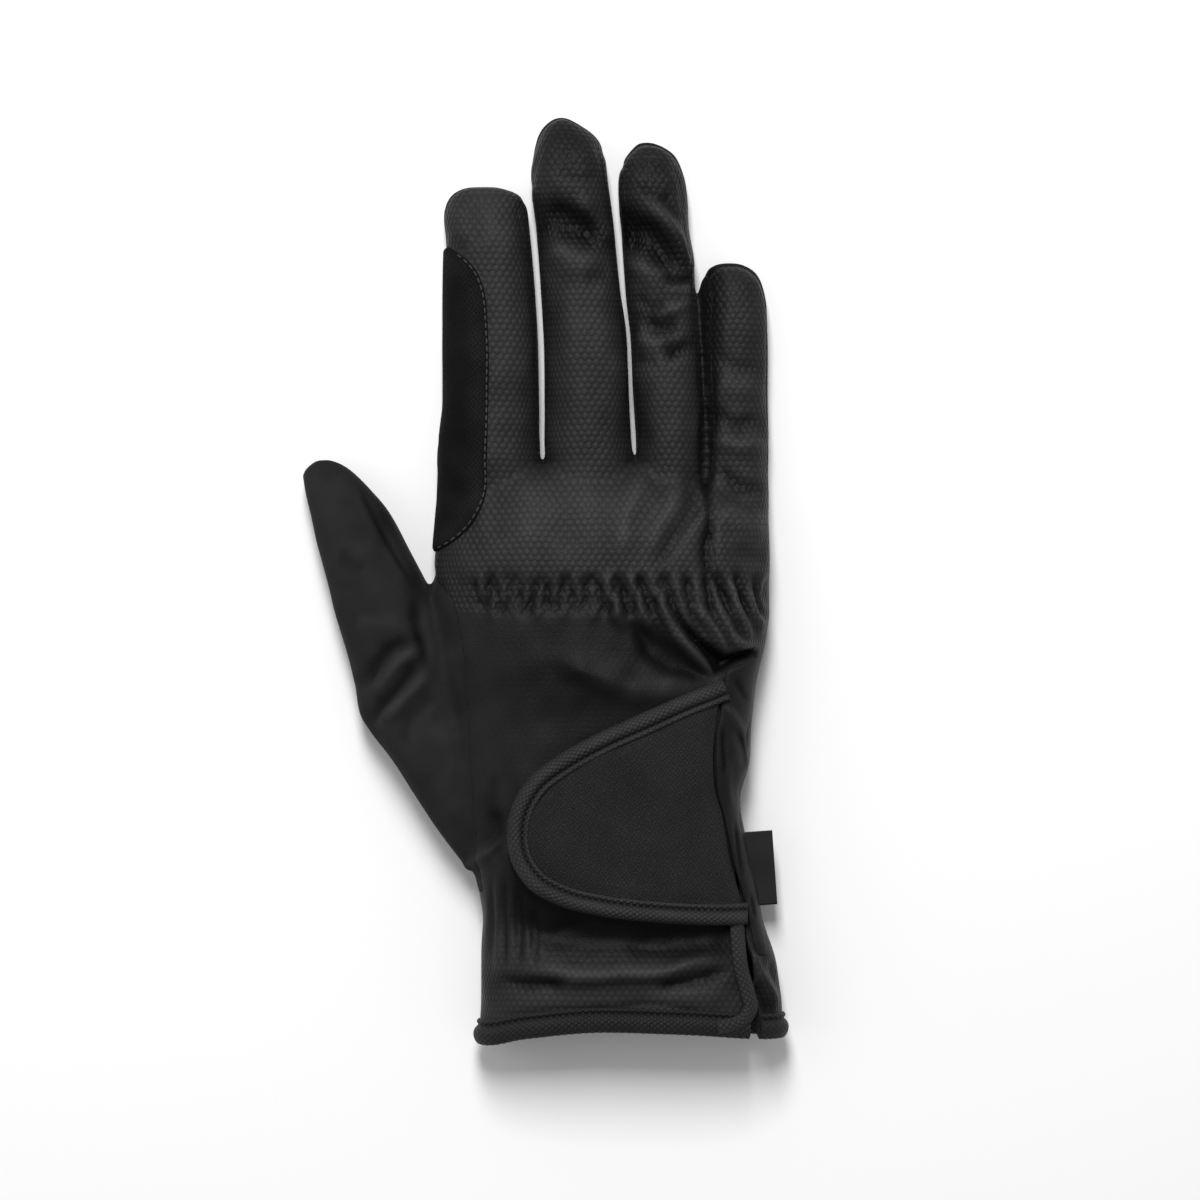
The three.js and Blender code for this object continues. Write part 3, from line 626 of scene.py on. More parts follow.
folds = {
    "back": [
        # from the gathers to the pocket above the strip
        (2.6, 1.5, 1.1, (12.2, 118), (15.5, 108.5), (20, 99.5), (29.4, 91.4)),
        (1.7, 1.2, 0.9, (17.3, 118), (19.7, 108.5), (22.8, 100.5)),
        (2.2, 1.2, 0.9, (22.6, 118), (24.2, 106.5), (27, 104), (32.2, 96.4)),
        (2.3, 1.2, 1.0, (27.5, 117.5), (30, 105.7), (33.3, 101), (40.6, 96.8)),
        (1.9, 1.1, 0.9, (32.2, 117), (33.3, 108.5), (35.8, 104.5), (37.4, 99.5)),
        (1.6, 1.1, 0.9, (36.3, 116.5), (38, 108.5), (40.8, 101.5)),
        (1.3, 1.2, 1.0, (6.3, 118), (10.5, 109.5), (12, 104.8), (15.5, 99.6)),
        (1.2, 1.3, 1.1, (0.6, 118), (3.2, 109), (6.4, 102.5)),
        # broad swell above the tab, and the hollow over it
        (1.5, 4.2, 2.6, (-14, 98), (-4, 92.6), (6, 88.6), (16, 87.4), (27, 89.5)),
        # tendons behind the knuckles
        (-1.6, 2.4, 3.2, (26.5, 144), (22.5, 134), (17, 125), (12, 117)),
        (-1.2, 1.5, 1.5, (25.6, 133), (26, 124), (27, 116), (31, 104)),
        (1.4, 2.5, 2.5, (21.5, 143), (16.5, 130), (12, 119)),
        (1.2, 2.6, 3.0, (11.5, 145), (7, 131), (3, 119)),
        (-0.5, 3.6, 3.6, (-10.5, 144), (-9, 131), (-8, 120)),
        (0.6, 3.0, 3.0, (-17, 139), (-17, 122)),
        (-0.5, 3.0, 3.0, (-26, 142), (-26, 122)),
        # root of the thumb and the wrist's left side
        (-1.5, 1.2, 1.6, (-44.6, 113), (-45.6, 105), (-43.4, 97.5), (-43, 92)),
        (1.0, 1.0, 1.6, (-23.5, 53), (-29, 47.5), (-33.4, 42.5), (-34, 39)),
        (-1.3, 3.2, 2.6, (-23.5, 60), (-25.8, 53.5), (-30.5, 48.5)),
        (0.5, 4.5, 4.5, (-38, 84), (-36, 66), (-33, 52)),
    ],
    "index": [
        (-0.5, 2.6, 2.6, (-31, 212), (-31, 198)),
        (0.3, 2.0, 2.0, (-35.5, 210), (-35.5, 200)),
        (-0.5, 1.6, 1.6, (-37.5, 199.6), (-33, 197.5)),
        (-0.4, 3.0, 3.0, (-30, 142), (-18, 140.5)),
    ],
    "middle": [
        (-1.9, 3.6, 3.8, (-15, 208), (-8, 204.2), (1.5, 201)),
        (1.5, 2.0, 2.2, (-6.5, 212), (-2, 206.5), (3.6, 197)),
        (1.2, 3.0, 2.6, (-14, 199), (-7, 195), (1, 192)),
        (-0.8, 2.4, 2.4, (-4, 190.5), (3.5, 191.3)),
        (-0.7, 3.0, 3.4, (-11.5, 191), (-10.5, 172), (-9.6, 152)),
        (0.5, 3.0, 3.0, (0, 184), (2.5, 168), (3.8, 152)),
        (0.5, 2.2, 2.2, (-9, 221), (-2, 221.5)),
        (-0.5, 1.2, 1.2, (-11, 217.5), (-6.5, 215), (0, 216.5)),
    ],
    "ring": [
        (-2.1, 3.4, 3.8, (4, 206.5), (10, 202), (15, 197.5), (21, 191.5)),
        (1.7, 1.7, 2.2, (11.5, 211), (17, 204.6), (21, 198), (24.4, 190.5)),
        (-0.8, 1.6, 2.0, (15.5, 213), (20.5, 205)),
        (1.2, 2.0, 1.8, (5.5, 197), (11, 192.6), (19, 188.2), (24, 187)),
        (-1.4, 1.4, 1.6, (15, 191.6), (20, 189.8), (24, 189.4)),
        (-1.1, 1.8, 1.8, (7.3, 186.5), (12.5, 184), (17, 184.6)),
        (0.9, 1.5, 1.5, (11, 181.5), (18, 182.5), (23.6, 184.6)),
        (-1.3, 1.6, 1.7, (9.5, 180.4), (15, 178.2), (20.8, 179.4)),
        (0.7, 1.8, 1.6, (8, 176.8), (13, 174.8), (18.4, 175.8)),
        (-1.0, 1.5, 1.5, (16.5, 172), (21, 173.2), (24, 175.8)),
        (-0.8, 2.0, 1.8, (8.5, 171.5), (12, 170), (15, 170.8)),
        (-0.8, 2.6, 2.6, (9.4, 166), (10.4, 154), (11.4, 146)),
        (-0.5, 1.0, 1.0, (8.6, 214), (13.6, 210.8), (18.6, 212)),
        (0.6, 1.6, 1.6, (10, 219.5), (15, 219.5)),
    ],
    "little": [
        (-0.8, 2.2, 2.2, (27, 171.5), (34, 168.6), (41, 170)),
        (0.6, 2.4, 2.4, (28, 164.5), (34, 163.2), (41, 165)),
        (-1.3, 2.0, 2.4, (27, 159.5), (34, 154.3), (41.5, 157)),
        (1.2, 2.0, 2.0, (27.4, 152.5), (34, 148.2), (41.8, 150)),
        (-1.3, 2.0, 2.0, (28, 144.5), (35, 138.4), (42, 137.6)),
        (1.0, 2.4, 2.4, (29, 135.5), (35, 129.6), (42, 129)),
        (-0.6, 2.0, 2.0, (32, 124), (37, 121.6), (42.5, 121)),
        (-1.2, 1.2, 1.3, (26.3, 133), (27, 124), (28.4, 116), (31.4, 104)),
    ],
    "thumb": [
        (-0.9, 0.7, 0.9, (-60.8, 141), (-56, 132), (-49.8, 120.5), (-44, 111.5)),
        (-1.6, 1.8, 2.0, (-43, 102.5), (-51, 99), (-58, 92), (-61.5, 87)),
        (1.2, 1.7, 1.7, (-43, 99), (-50, 94), (-58, 86)),
        (-1.5, 1.6, 1.9, (-41, 97), (-48.5, 90.5), (-55.5, 82.5), (-58.5, 76)),
        (1.3, 1.4, 1.7, (-41, 92.5), (-47, 87.5), (-53, 79)),
        (-0.8, 1.6, 2.0, (-40, 89), (-45.5, 83), (-50, 73)),
        (0.6, 2.0, 2.4, (-61, 106), (-54, 104.5), (-48, 106)),
        (-0.5, 2.2, 2.2, (-66, 122), (-58, 118)),
    ],
    "cuff": [
        # gathers at the left of the wrist
        (0.7, 0.9, 1.0, (-25.2, 45), (-25.9, 33), (-25.2, 14)),
        (0.6, 0.9, 1.0, (-21.6, 43), (-22.3, 32), (-21.9, 16)),
        (0.5, 1.0, 1.0, (-18, 39), (-18.6, 30), (-17.6, 18)),
        (0.4, 0.9, 0.9, (-28, 42), (-28.3, 31), (-27.8, 17)),
        (0.3, 0.9, 0.9, (-14, 35), (-15, 28), (-14.6, 19)),
        (-0.5, 0.8, 0.9, (-23.7, 44), (-24.1, 31), (-23.3, 16)),
        (-0.5, 0.9, 1.0, (-19.8, 40), (-20.5, 31), (-19.9, 18)),
        (-0.4, 0.8, 0.9, (-26.8, 42), (-27, 31), (-26.6, 18)),
        (-0.3, 0.8, 1.0, (-16.2, 35), (-16.8, 28), (-16.2, 18)),
        # the cuff drawn in under the tab, its swell and the hollows under it
        (-1.6, 3.2, 4.5, (-27, 30), (-8, 27.6), (12, 26.6), (35, 28)),
        (2.2, 2.0, 1.4, (-24, 20), (-10, 18.6), (2, 18), (15, 18.8), (27, 21), (34.5, 22.6)),
        (-1.4, 1.5, 2.2, (-27, 16.5), (-18, 16), (-6, 16.4)),
        (-1.5, 1.2, 1.8, (12, 15), (23, 16.4), (33, 19.6)),
        (0.5, 2.2, 2.2, (18, 12.4), (27, 12.8), (34, 14.4)),
        (-0.6, 1.0, 0.9, (-31, 5.5), (-18.5, 8.3), (0.8, 10), (21, 9.4), (35, 7.6)),
        # the flap beyond the slit
        (1.3, 1.0, 1.4, (36.5, 26), (39, 18.5), (41.8, 13), (44.4, 8)),
        (-1.4, 1.6, 1.2, (37.8, 17), (40, 11.5), (42.4, 6.5)),
        (-1.1, 1.2, 1.2, (42, 21), (44, 16), (45.4, 11)),
    ],
}

# Painted light and shade in the cloth's colour: lighter with its height and on the crests of creases,
# darker down in creases, on upright walls, and by place
paintedShading = {
    "rounds": 16,            # of the smoothing that a crease is told from
    "height": 0.16,
    "crease": 0.8,
    "sides": 0.5,            # painted shade on walls that stand upright
    "upright": (0.15, 0.9),
    "least": 0.15,
    "most": 1.9,
    # painted lighter and darker places: factor, then x and y of its middle and how far it reaches each way
    "places": [
        (1.45, 2, 131, 30, 10),
        (0.75, 4, 112, 44, 5),
        (0.75, -24, 109, 12, 7),
        (0.85, -6, 84, 18, 14),
        (0.5, -46, 116, 3.5, 10),
        (0.5, -54, 131, 2.6, 9),
        (0.3, 43, 14, 4.5, 10),
        (0.02, -3, 95, 26, 14),
        (0.5, 6, 62, 28, 20),
        (1.7, 2, 90.5, 13, 2.6),
        (0.6, -20, 32, 8, 11),
        (1.4, 4, 19, 30, 2.4),
        (0.6, -18, 15.5, 11, 2.2),
        (0.6, 24, 16, 10, 2.2),
        (1.45, 2, 11, 32, 5.5),
        (0.25, -8, 225, 9, 11),
        (0.25, 14, 220, 9, 9),
        (1.2, 2, 176, 22, 12),
        (1.2, -24, 185, 5, 30),
        (0.7, 33, 190, 9, 9),
        (0.8, 10, 155, 16, 9),
    ],
}

gathers = {
    "upper": 116.4,
    "lower": 107.8,
    # on the left the cloth is drawn up in tongues, from the first to the last
    "firstTip": -29.8,
    "lastTip": 13,
    "pitch": 6.1,
    "jitter": 0.55,
    "strength": (0.75, 1.25),
    "lean": 0.8,
    "tongue": 0.58,
    "valley": -0.7,
    "tongueReach": 0.95,
    "valleyReach": 0.6,
    # folds between the tongues are a little lower and narrower
    "between": 0.8,
    "betweenJitter": 0.4,
    "betweenReach": 0.8,
    "betweenValleyReach": 0.55,
    # on the right it hangs in slanting ribs: x of the top and foot, y of the foot, rise
    "ribs": [
        (2.4, 4.6, 107.4, 0.7), (7, 10.6, 106.4, 0.95), (27.4, 29.6, 107, 0.8), (31.8, 34.2, 106.2, 0.9),
        (36.2, 38.6, 106, 0.8), (40, 41.4, 108, 0.6), (18.6, 21.6, 106.6, 0.7), (23, 25.4, 106.8, 0.8),
    ],
    "ribReach": 1.0,
    "ribValleyReach": 0.9,
    "ribValley": -0.8,       # of the rib's rise
    "bandDepth": 0.9,
    "bandReach": 4.6,
    "bandLeft": (-38, -30),
    "pucker": 0.3,
    "puckerSize": 2.6,
    "puckerStretch": (1.0, 0.55, 0.5),
    "puckerSeed": 41,
    "seed": 5,
}

# Deep places: their outline, depth, how dark painted shade makes them and how soft their rim is
hollows = {
    "pocket": {
        "outline": [(19, 107), (21.8, 103.2), (24.6, 100.4), (27.8, 98.8), (31.6, 96.9), (37.4, 98.4),
                    (38.8, 97.2), (31.4, 93), (29.2, 92.4), (25.2, 96.4), (21.4, 101)],
        "depth": 4.2, "dark": 0.85, "soft": 0.9,
    },
    "underFold": {
        "outline": [(8.5, 104), (13, 103.6), (17, 100), (22, 95.2), (28, 91.6), (23, 90.6), (16, 93),
                    (10.5, 98)],
        "depth": 1.9, "dark": 0.6, "soft": 2.0,
    },
    "middleValley": {
        "outline": [(-15.5, 209.5), (-11, 211), (-6.5, 210.6), (-2.2, 208), (1.4, 203.6), (2.4, 199),
                    (-1, 197.8), (-6, 199), (-11, 200.6), (-15.5, 202.5)],
        "depth": 0.3, "dark": 0.9, "soft": 2.7,
    },
    "ringValley": {
        "outline": [(3.5, 210), (9, 209.4), (15, 205.4), (20.6, 199.6), (23.4, 193.5), (20, 191.8),
                    (14, 194.6), (8, 197.6), (3.5, 199.6)],
        "depth": 0.3, "dark": 0.92, "soft": 2.7,
    },
    "ringUpper": {
        "outline": [(12, 191.4), (19.5, 191.6), (22, 190), (16, 187.4)],
        "depth": 0.3, "dark": 0.55, "soft": 1.3,
    },
    "ringMiddle": {
        "outline": [(8, 182.6), (13, 183.6), (19, 181), (15, 179), (9, 180)],
        "depth": 0.3, "dark": 0.55, "soft": 1.3,
    },
    "ringLower": {
        "outline": [(15, 174.6), (21.5, 175.4), (22, 172), (17, 170)],
        "depth": 0.3, "dark": 0.5, "soft": 1.3,
    },
    "besideRing": {
        "outline": [(25, 194.5), (30.4, 193.4), (31.2, 184), (29.6, 168), (28.6, 151), (27.8, 138),
                    (27.8, 126), (26.6, 126), (25.4, 140), (24.8, 152), (24.4, 170)],
        "depth": 0.5, "dark": 0.7, "soft": 1.1,
    },
    "underTab": {
        "outline": [(-22, 46), (-16, 40), (-8, 37), (2, 35), (14, 33.6), (35.5, 33), (35, 24), (20, 23),
                    (4, 22.6), (-8, 23), (-16, 25), (-22, 31)],
        "depth": 0.9, "dark": 0.95, "soft": 3.4,
    },
    "besideTab": {
        "outline": [(-26, 66), (-24.4, 56), (-24.6, 46), (-27, 50), (-29, 60)],
        "depth": 0.6, "dark": 0.35, "soft": 2.4,
    },
}

# What keeps the folds from being even
uneven = {
    "drift": 0.5,            # of all folds sideways, in mm
    "driftSize": 16,
    "driftSeeds": (11, 12),
    "wander": 0.15,          # of a fold's width
    "wanderSize": 7,
    "wanderSeed": 13,
    "swells": [(0.22, 19, 21), (0.1, 7, 22)],        # rise, size and seed
    "back": (-0.15, 0.45),   # upward lean of the cloth where folds begin and are full
    "lineStep": 2.5,
    "margin": 2.6,           # reaches beside a fold's line that it is worked out in
}


def fade(along, ends=0.28):
    return smoothstep(0, ends, along) * smoothstep(0, ends, 1 - along)


def addFolds(height, xy, rows, wander):
    for rise, left, right, *line in rows:
        line = smoothLine(line, uneven["lineStep"])
        margin = uneven["margin"] * max(left, right)
        low, high = line.min(axis=0) - margin, line.max(axis=0) + margin
        near = np.flatnonzero(((xy > low) & (xy < high)).all(axis=1))
        if len(near) == 0:
            continue
        distance, side, along = lineField(xy[near], line)
        distance = distance + wander[near] * uneven["wander"] * min(left, right)
        reach = np.where(side > 0, left, right)
        height[near] += rise * fade(along) * np.exp(-(distance / reach) ** 2)


# Folds of the gathers: tongues in two rows, each in a V of valleys, and the slanting ribs
def gatherRows():
    random = np.random.default_rng(gathers["seed"])
    half = gathers["pitch"] / 2
    upper, lower = gathers["upper"], gathers["lower"]
    middle = (upper + lower) / 2
    rows = []
    for tip in np.arange(gathers["firstTip"], gathers["lastTip"], gathers["pitch"]):
        x, y = np.array([tip, lower]) + random.uniform(-1, 1, 2) * gathers["jitter"]
        strength = random.uniform(*gathers["strength"])
        rise, drop = gathers["tongue"] * strength, gathers["valley"] * strength
        lean = random.uniform(-gathers["lean"], gathers["lean"])
        reach, valleyReach = gathers["tongueReach"], gathers["valleyReach"]
        rows.append((rise, reach, reach, (x + lean, upper + 1.5), (x, y + 1.2)))
        for side in (-1, 1):
            rows.append((drop, valleyReach, valleyReach, (x + side * 2 + lean, upper - 0.5),
                         (x + side * 1.7, middle), (x + side * 0.2, y - 1)))
        between = x + half + random.uniform(-gathers["betweenJitter"], gathers["betweenJitter"])
        share = gathers["between"]
        reach, valleyReach = gathers["betweenReach"], gathers["betweenValleyReach"]
        rows.append((share * rise, reach, reach, (between, upper - 1.6), (between - lean, lower - 3.5)))
        for side in (-1, 1):
            rows.append((share * drop, valleyReach, valleyReach, (between + side * 1.5, middle + 1.2),
                         (between + side * 0.1, upper + 1)))
    reach, valleyReach = gathers["ribReach"], gathers["ribValleyReach"]
    for top, foot, footAt, rise in gathers["ribs"]:
        rows.append((rise, reach, reach, (top, upper + 3), (foot, footAt - 2.5)))
        rows.append((gathers["ribValley"] * rise, valleyReach, valleyReach, (top + 2.3, upper + 2),
                     (foot + 2.2, footAt - 1.5)))
    return rows


def hollowShare(hollow, xy):
    return smoothstep(-hollow["soft"], hollow["soft"], insideOutline(xy, hollow["outline"]))


# How far the cloth stands off the plain form, along its normals
def reliefAt(points, normals):
    drift = np.stack([
        clothNoise(points, uneven["driftSize"], seed) for seed in uneven["driftSeeds"]
    ], axis=1)
    xy = points[:, :2] + uneven["drift"] * drift
    wander = clothNoise(points, uneven["wanderSize"], uneven["wanderSeed"])
    height = np.zeros(len(points))
    for rows in folds.values():
        addFolds(height, xy, rows, wander)
    addFolds(height, xy, gatherRows(), wander)
    away = (xy[:, 1] - (gathers["upper"] + gathers["lower"]) / 2) / gathers["bandReach"]
    inBand, fromLeft = np.exp(-away ** 4), smoothstep(*gathers["bandLeft"], xy[:, 0])
    height -= gathers["bandDepth"] * inBand * fromLeft
    stretched = points * gathers["puckerStretch"]
    pucker = gathers["pucker"] * clothNoise(stretched, gathers["puckerSize"], gathers["puckerSeed"])
    height += pucker * inBand * fromLeft
    for hollow in hollows.values():
        height -= hollow["depth"] * hollowShare(hollow, xy)
    swell = sum(rise * clothNoise(points, size, seed) for rise, size, seed in uneven["swells"])
    return (height + swell) * smoothstep(*uneven["back"], normals[:, 2])


relief = reliefAt(base, baseNormals)
around = relax(relief[:, None], skinFaces, paintedShading["rounds"])[:, 0]
facingUp = smoothstep(*paintedShading["upright"], baseNormals[:, 2])
# painted light and shade: lighter where the cloth stands higher and on crests, darker down in creases
tone = 1 + paintedShading["height"] * relief + paintedShading["crease"] * (relief - around)
# painted lighter and darker places
for factor, x, y, reachX, reachY in paintedShading["places"]:
    spot = np.exp(-((base[:, 0] - x) / reachX) ** 2 - ((base[:, 1] - y) / reachY) ** 2)
    tone *= 1 + (factor - 1) * spot
# clipped, then painted shade on upright walls
tone = np.clip(tone, paintedShading["least"], paintedShading["most"]) * (paintedShading["sides"] + (1 - paintedShading["sides"]) * facingUp)
# painted shade in the deep places
for hollow in hollows.values():
    tone *= 1 - hollow["dark"] * hollowShare(hollow, base[:, :2])
fields = panelFields(base)
toSeam = np.max(list(fields.values()), axis=0)
plain = smoothstep(seams["plainFade"], -seams["plainFade"], base[:, 1] - seams["plainBelow"]) \
    * smoothstep(*seams["plainLeftOf"], base[:, 0])
grooving = 1 - (1 - seams["plainSeam"]) * plain
roll = -seams["groove"] * np.exp(-(np.maximum(toSeam, 0) / seams["grooveReach"]) ** 2) \
    + seams["roll"] * np.exp(-((toSeam - seams["rollAt"]) / seams["rollReach"]) ** 2)
raised = smoothstep(*form["rests"], base[:, 2])
skin = base + baseNormals * ((relief + roll * grooving) * raised)[:, None]
skin = relax(skin, skinFaces, form["softening"])
skin[:, 2] = np.maximum(skin[:, 2], 0)
skinTree = BVHTree.FromPolygons(skin.tolist(), skinFaces.tolist())
print("relief from", relief.min().round(1), "to", relief.max().round(1), "mm")

clothMap = {
    # how much of the cloth's drop at the sides and at the tips is added to its length
    "across": 0.85,
    "ahead": 0.8,
    "steepSides": (0.2, 0.9),
    "steepTips": (0.45, 0.9),
    "highest": 25.0,
    "fingerRange": (0.02, 1.05),     # along a finger, from its crotch, where the cloth follows it
    "handRatio": 5,          # more than any ratio on a finger, so that fingers are chosen first
    "rounds": 60,            # of the smoothing of the normals
}


# Coordinates that run over the cloth, in mm: round the hand or finger, and along it
def clothCoordinates(points, normals):
    middle, top = np.zeros(len(points)), np.full(len(points), clothMap["highest"])
    best = np.full(len(points), 1e9)
    for name, tube in tubes.items():
        if name == "thumb":
            continue
        along = (points[:, 1] - tube["start"][1] * handLength) / tube["length"]
        mid, half, widest, up, _ = sectionAt(tube, points[:, 1])
        ratio = np.abs(points[:, 0] - mid) / half
        lowest, highest = clothMap["fingerRange"]
        if name == "hand":
            lowest, ratio = -1, ratio + clothMap["handRatio"]
        ratio = np.where((along < lowest) | (along > highest), 1e8, ratio)
        chosen = ratio < best
        best[chosen] = ratio[chosen]
        middle[chosen] = mid[chosen]
        top[chosen] = (widest + up)[chosen]
    drop = np.maximum(top - points[:, 2], 0)
    offset = points[:, 0] - middle
    atSides = smoothstep(*clothMap["steepSides"], np.abs(normals[:, 0]))
    atTips = smoothstep(*clothMap["steepTips"], normals[:, 1])
    across = points[:, 0] + np.sign(offset) * clothMap["across"] * drop * atSides
    ahead = points[:, 1] + clothMap["ahead"] * drop * atTips
    return np.stack([across, ahead], axis=1)


cloth = clothCoordinates(base, relax(baseNormals, skinFaces, clothMap["rounds"]))

# Materials

def addNode(tree, kind, inputs=None, **settings):
    node = tree.nodes.new(kind)
    for key, value in settings.items():
        setattr(node, key, value)
    for key, value in (inputs or {}).items():
        if isinstance(value, bpy.types.NodeSocket):
            tree.links.new(value, node.inputs[key])
        else:
            node.inputs[key].default_value = value
    return node


def newGroup(name, inputs, outputs):
    group = bpy.data.node_groups.new(name, "ShaderNodeTree")
    for key, value in inputs.items():
        socket = group.interface.new_socket(name=key, in_out="INPUT", socket_type="NodeSocketFloat")
        socket.default_value = value
    for key in outputs:
        group.interface.new_socket(name=key, in_out="OUTPUT", socket_type="NodeSocketFloat")
    return group, group.nodes.new("NodeGroupInput"), group.nodes.new("NodeGroupOutput")


def number(tree, operation, a, b):
    return addNode(tree, "ShaderNodeMath", {0: a, 1: b}, operation=operation).outputs[0]


def vector(tree, operation, a, b=(0, 0, 0)):
    node = addNode(tree, "ShaderNodeVectorMath", {0: a, 1: b}, operation=operation)
    return node.outputs["Value" if operation == "LENGTH" else "Vector"]


# Rows of small rounded bumps, each row set half a step on from the last
def makeEmboss():
    inputs = {"Pitch": 1.9, "Row": 1.5, "Wander": 0.4, "Ripple": 0.22}
    group, entry, leave = newGroup("clothEmboss", inputs, ["Height"])
    place = addNode(group, "ShaderNodeUVMap", uv_map="cloth").outputs[0]
    ripples = {"Vector": place, "Scale": entry.outputs["Ripple"], "Detail": 2.0}
    noise = addNode(group, "ShaderNodeTexNoise", ripples, noise_dimensions="2D")
    away = vector(group, "SUBTRACT", noise.outputs["Color"], (0.5, 0.5, 0.5))
    spread = addNode(group, "ShaderNodeVectorMath", {0: away, "Scale": entry.outputs["Wander"]},
                     operation="SCALE").outputs[0]
    place = vector(group, "ADD", place, spread)
    tall = number(group, "MULTIPLY", entry.outputs["Pitch"], entry.outputs["Row"])
    cell = addNode(group, "ShaderNodeCombineXYZ", {0: entry.outputs["Pitch"], 1: tall, 2: 1.0}).outputs[0]
    shape = addNode(group, "ShaderNodeCombineXYZ", {0: 1.0, 1: entry.outputs["Row"], 2: 0.0}).outputs[0]
    scaled = vector(group, "DIVIDE", place, cell)
    lengths = []
    for start in ((0, 0, 0), (0.5, 0.5, 0)):
        part = vector(group, "FRACTION", vector(group, "ADD", scaled, start))
        centred = vector(group, "SUBTRACT", part, (0.5, 0.5, 0))
        lengths.append(vector(group, "LENGTH", vector(group, "MULTIPLY", centred, shape)))
    nearest = number(group, "MINIMUM", *lengths)
    bump = addNode(group, "ShaderNodeMapRange",
                   {"Value": nearest, "From Min": 0.08, "From Max": 0.56, "To Min": 1.0, "To Max": 0.0},
                   interpolation_type="SMOOTHSTEP")
    group.links.new(bump.outputs[0], leave.inputs["Height"])
    return group


# Short uneven nap: fine grain with broader, softer blotches
def makeGrain():
    group, entry, leave = newGroup("suedeGrain", {"Scale": 1600.0, "Blotch": 90.0}, ["Grain", "Blotches"])
    place = addNode(group, "ShaderNodeTexCoord").outputs["Object"]
    for key, source in (("Grain", "Scale"), ("Blotches", "Blotch")):
        noise = addNode(group, "ShaderNodeTexNoise",
                        {"Vector": place, "Scale": entry.outputs[source], "Detail": 3.0})
        group.links.new(noise.outputs["Fac"], leave.inputs[key])
    return group


# Painted light and shade from the tone kept on the mesh: lighter on the crests of folds and darker down in
# them
def makePaintedShade():
    group, entry, leave = newGroup("paintedFoldShade", {"Amount": 1.0}, ["Tone"])
    kept = addNode(group, "ShaderNodeAttribute", attribute_name="tone").outputs["Fac"]
    away = number(group, "MULTIPLY", number(group, "SUBTRACT", kept, 1.0), entry.outputs["Amount"])
    group.links.new(number(group, "ADD", away, 1.0), leave.inputs["Tone"])
    return group


groups = {"emboss": makeEmboss(), "grain": makeGrain(), "paintedShade": makePaintedShade()}


def clothMaterial(name, finish):
    facts = {**commonFinish, **finish}
    material = bpy.data.materials.new(name)
    material.use_nodes = True
    tree = material.node_tree
    tree.nodes.clear()
    output = addNode(tree, "ShaderNodeOutputMaterial")
    shader = addNode(tree, "ShaderNodeBsdfPrincipled", {
        "Roughness": facts["roughness"],
        "Sheen Weight": facts["sheen"],
        "Sheen Roughness": facts["sheenRoughness"],
        "Specular IOR Level": facts["specular"],
    })
    tree.links.new(shader.outputs[0], output.inputs[0])
    grain = addNode(tree, "ShaderNodeGroup", node_tree=groups["grain"])
    grain.inputs["Scale"].default_value = facts["grainScale"]
    paintedShade = addNode(tree, "ShaderNodeGroup", node_tree=groups["paintedShade"])
    paintedShade.inputs["Amount"].default_value = facts["paintedShade"]
    blotch = addNode(tree, "ShaderNodeMapRange", {
        "Value": grain.outputs["Blotches"], "From Min": 0.3, "From Max": 0.7,
        "To Min": 1 - facts["blotch"], "To Max": 1 + facts["blotch"],
    }).outputs[0]
    # the random blotches times the painted light and shade
    tone = number(tree, "MULTIPLY", blotch, paintedShade.outputs["Tone"])
    height = number(tree, "MULTIPLY", grain.outputs["Grain"], facts["grainHeight"])
    if "pitch" in facts:
        emboss = addNode(tree, "ShaderNodeGroup", node_tree=groups["emboss"])
        emboss.inputs["Pitch"].default_value = facts["pitch"]
        emboss.inputs["Row"].default_value = facts["row"]
        emboss.inputs["Wander"].default_value = facts["wander"]
        emboss.inputs["Ripple"].default_value = facts["ripple"]
        strength = addNode(tree, "ShaderNodeAttribute", attribute_name="emboss").outputs["Fac"]
        bumps = number(tree, "MULTIPLY", emboss.outputs["Height"], strength)
        # painted highlight on the raised bumps and painted shade between them
        lighter = number(tree, "MULTIPLY", bumps, facts["bumpTone"])
        tone = number(tree, "MULTIPLY", tone, number(tree, "ADD", lighter, 1 - facts["bumpTone"] / 2))
        height = number(tree, "ADD", height, number(tree, "MULTIPLY", bumps, facts["bumpHeight"]))
    colour = addNode(tree, "ShaderNodeVectorMath", {0: facts["colour"], "Scale": tone}, operation="SCALE")
    bump = addNode(tree, "ShaderNodeBump", {"Height": height, "Distance": millimetre, "Strength": 1.0})
    tree.links.new(colour.outputs[0], shader.inputs["Base Color"])
    tree.links.new(bump.outputs[0], shader.inputs["Normal"])
    return material


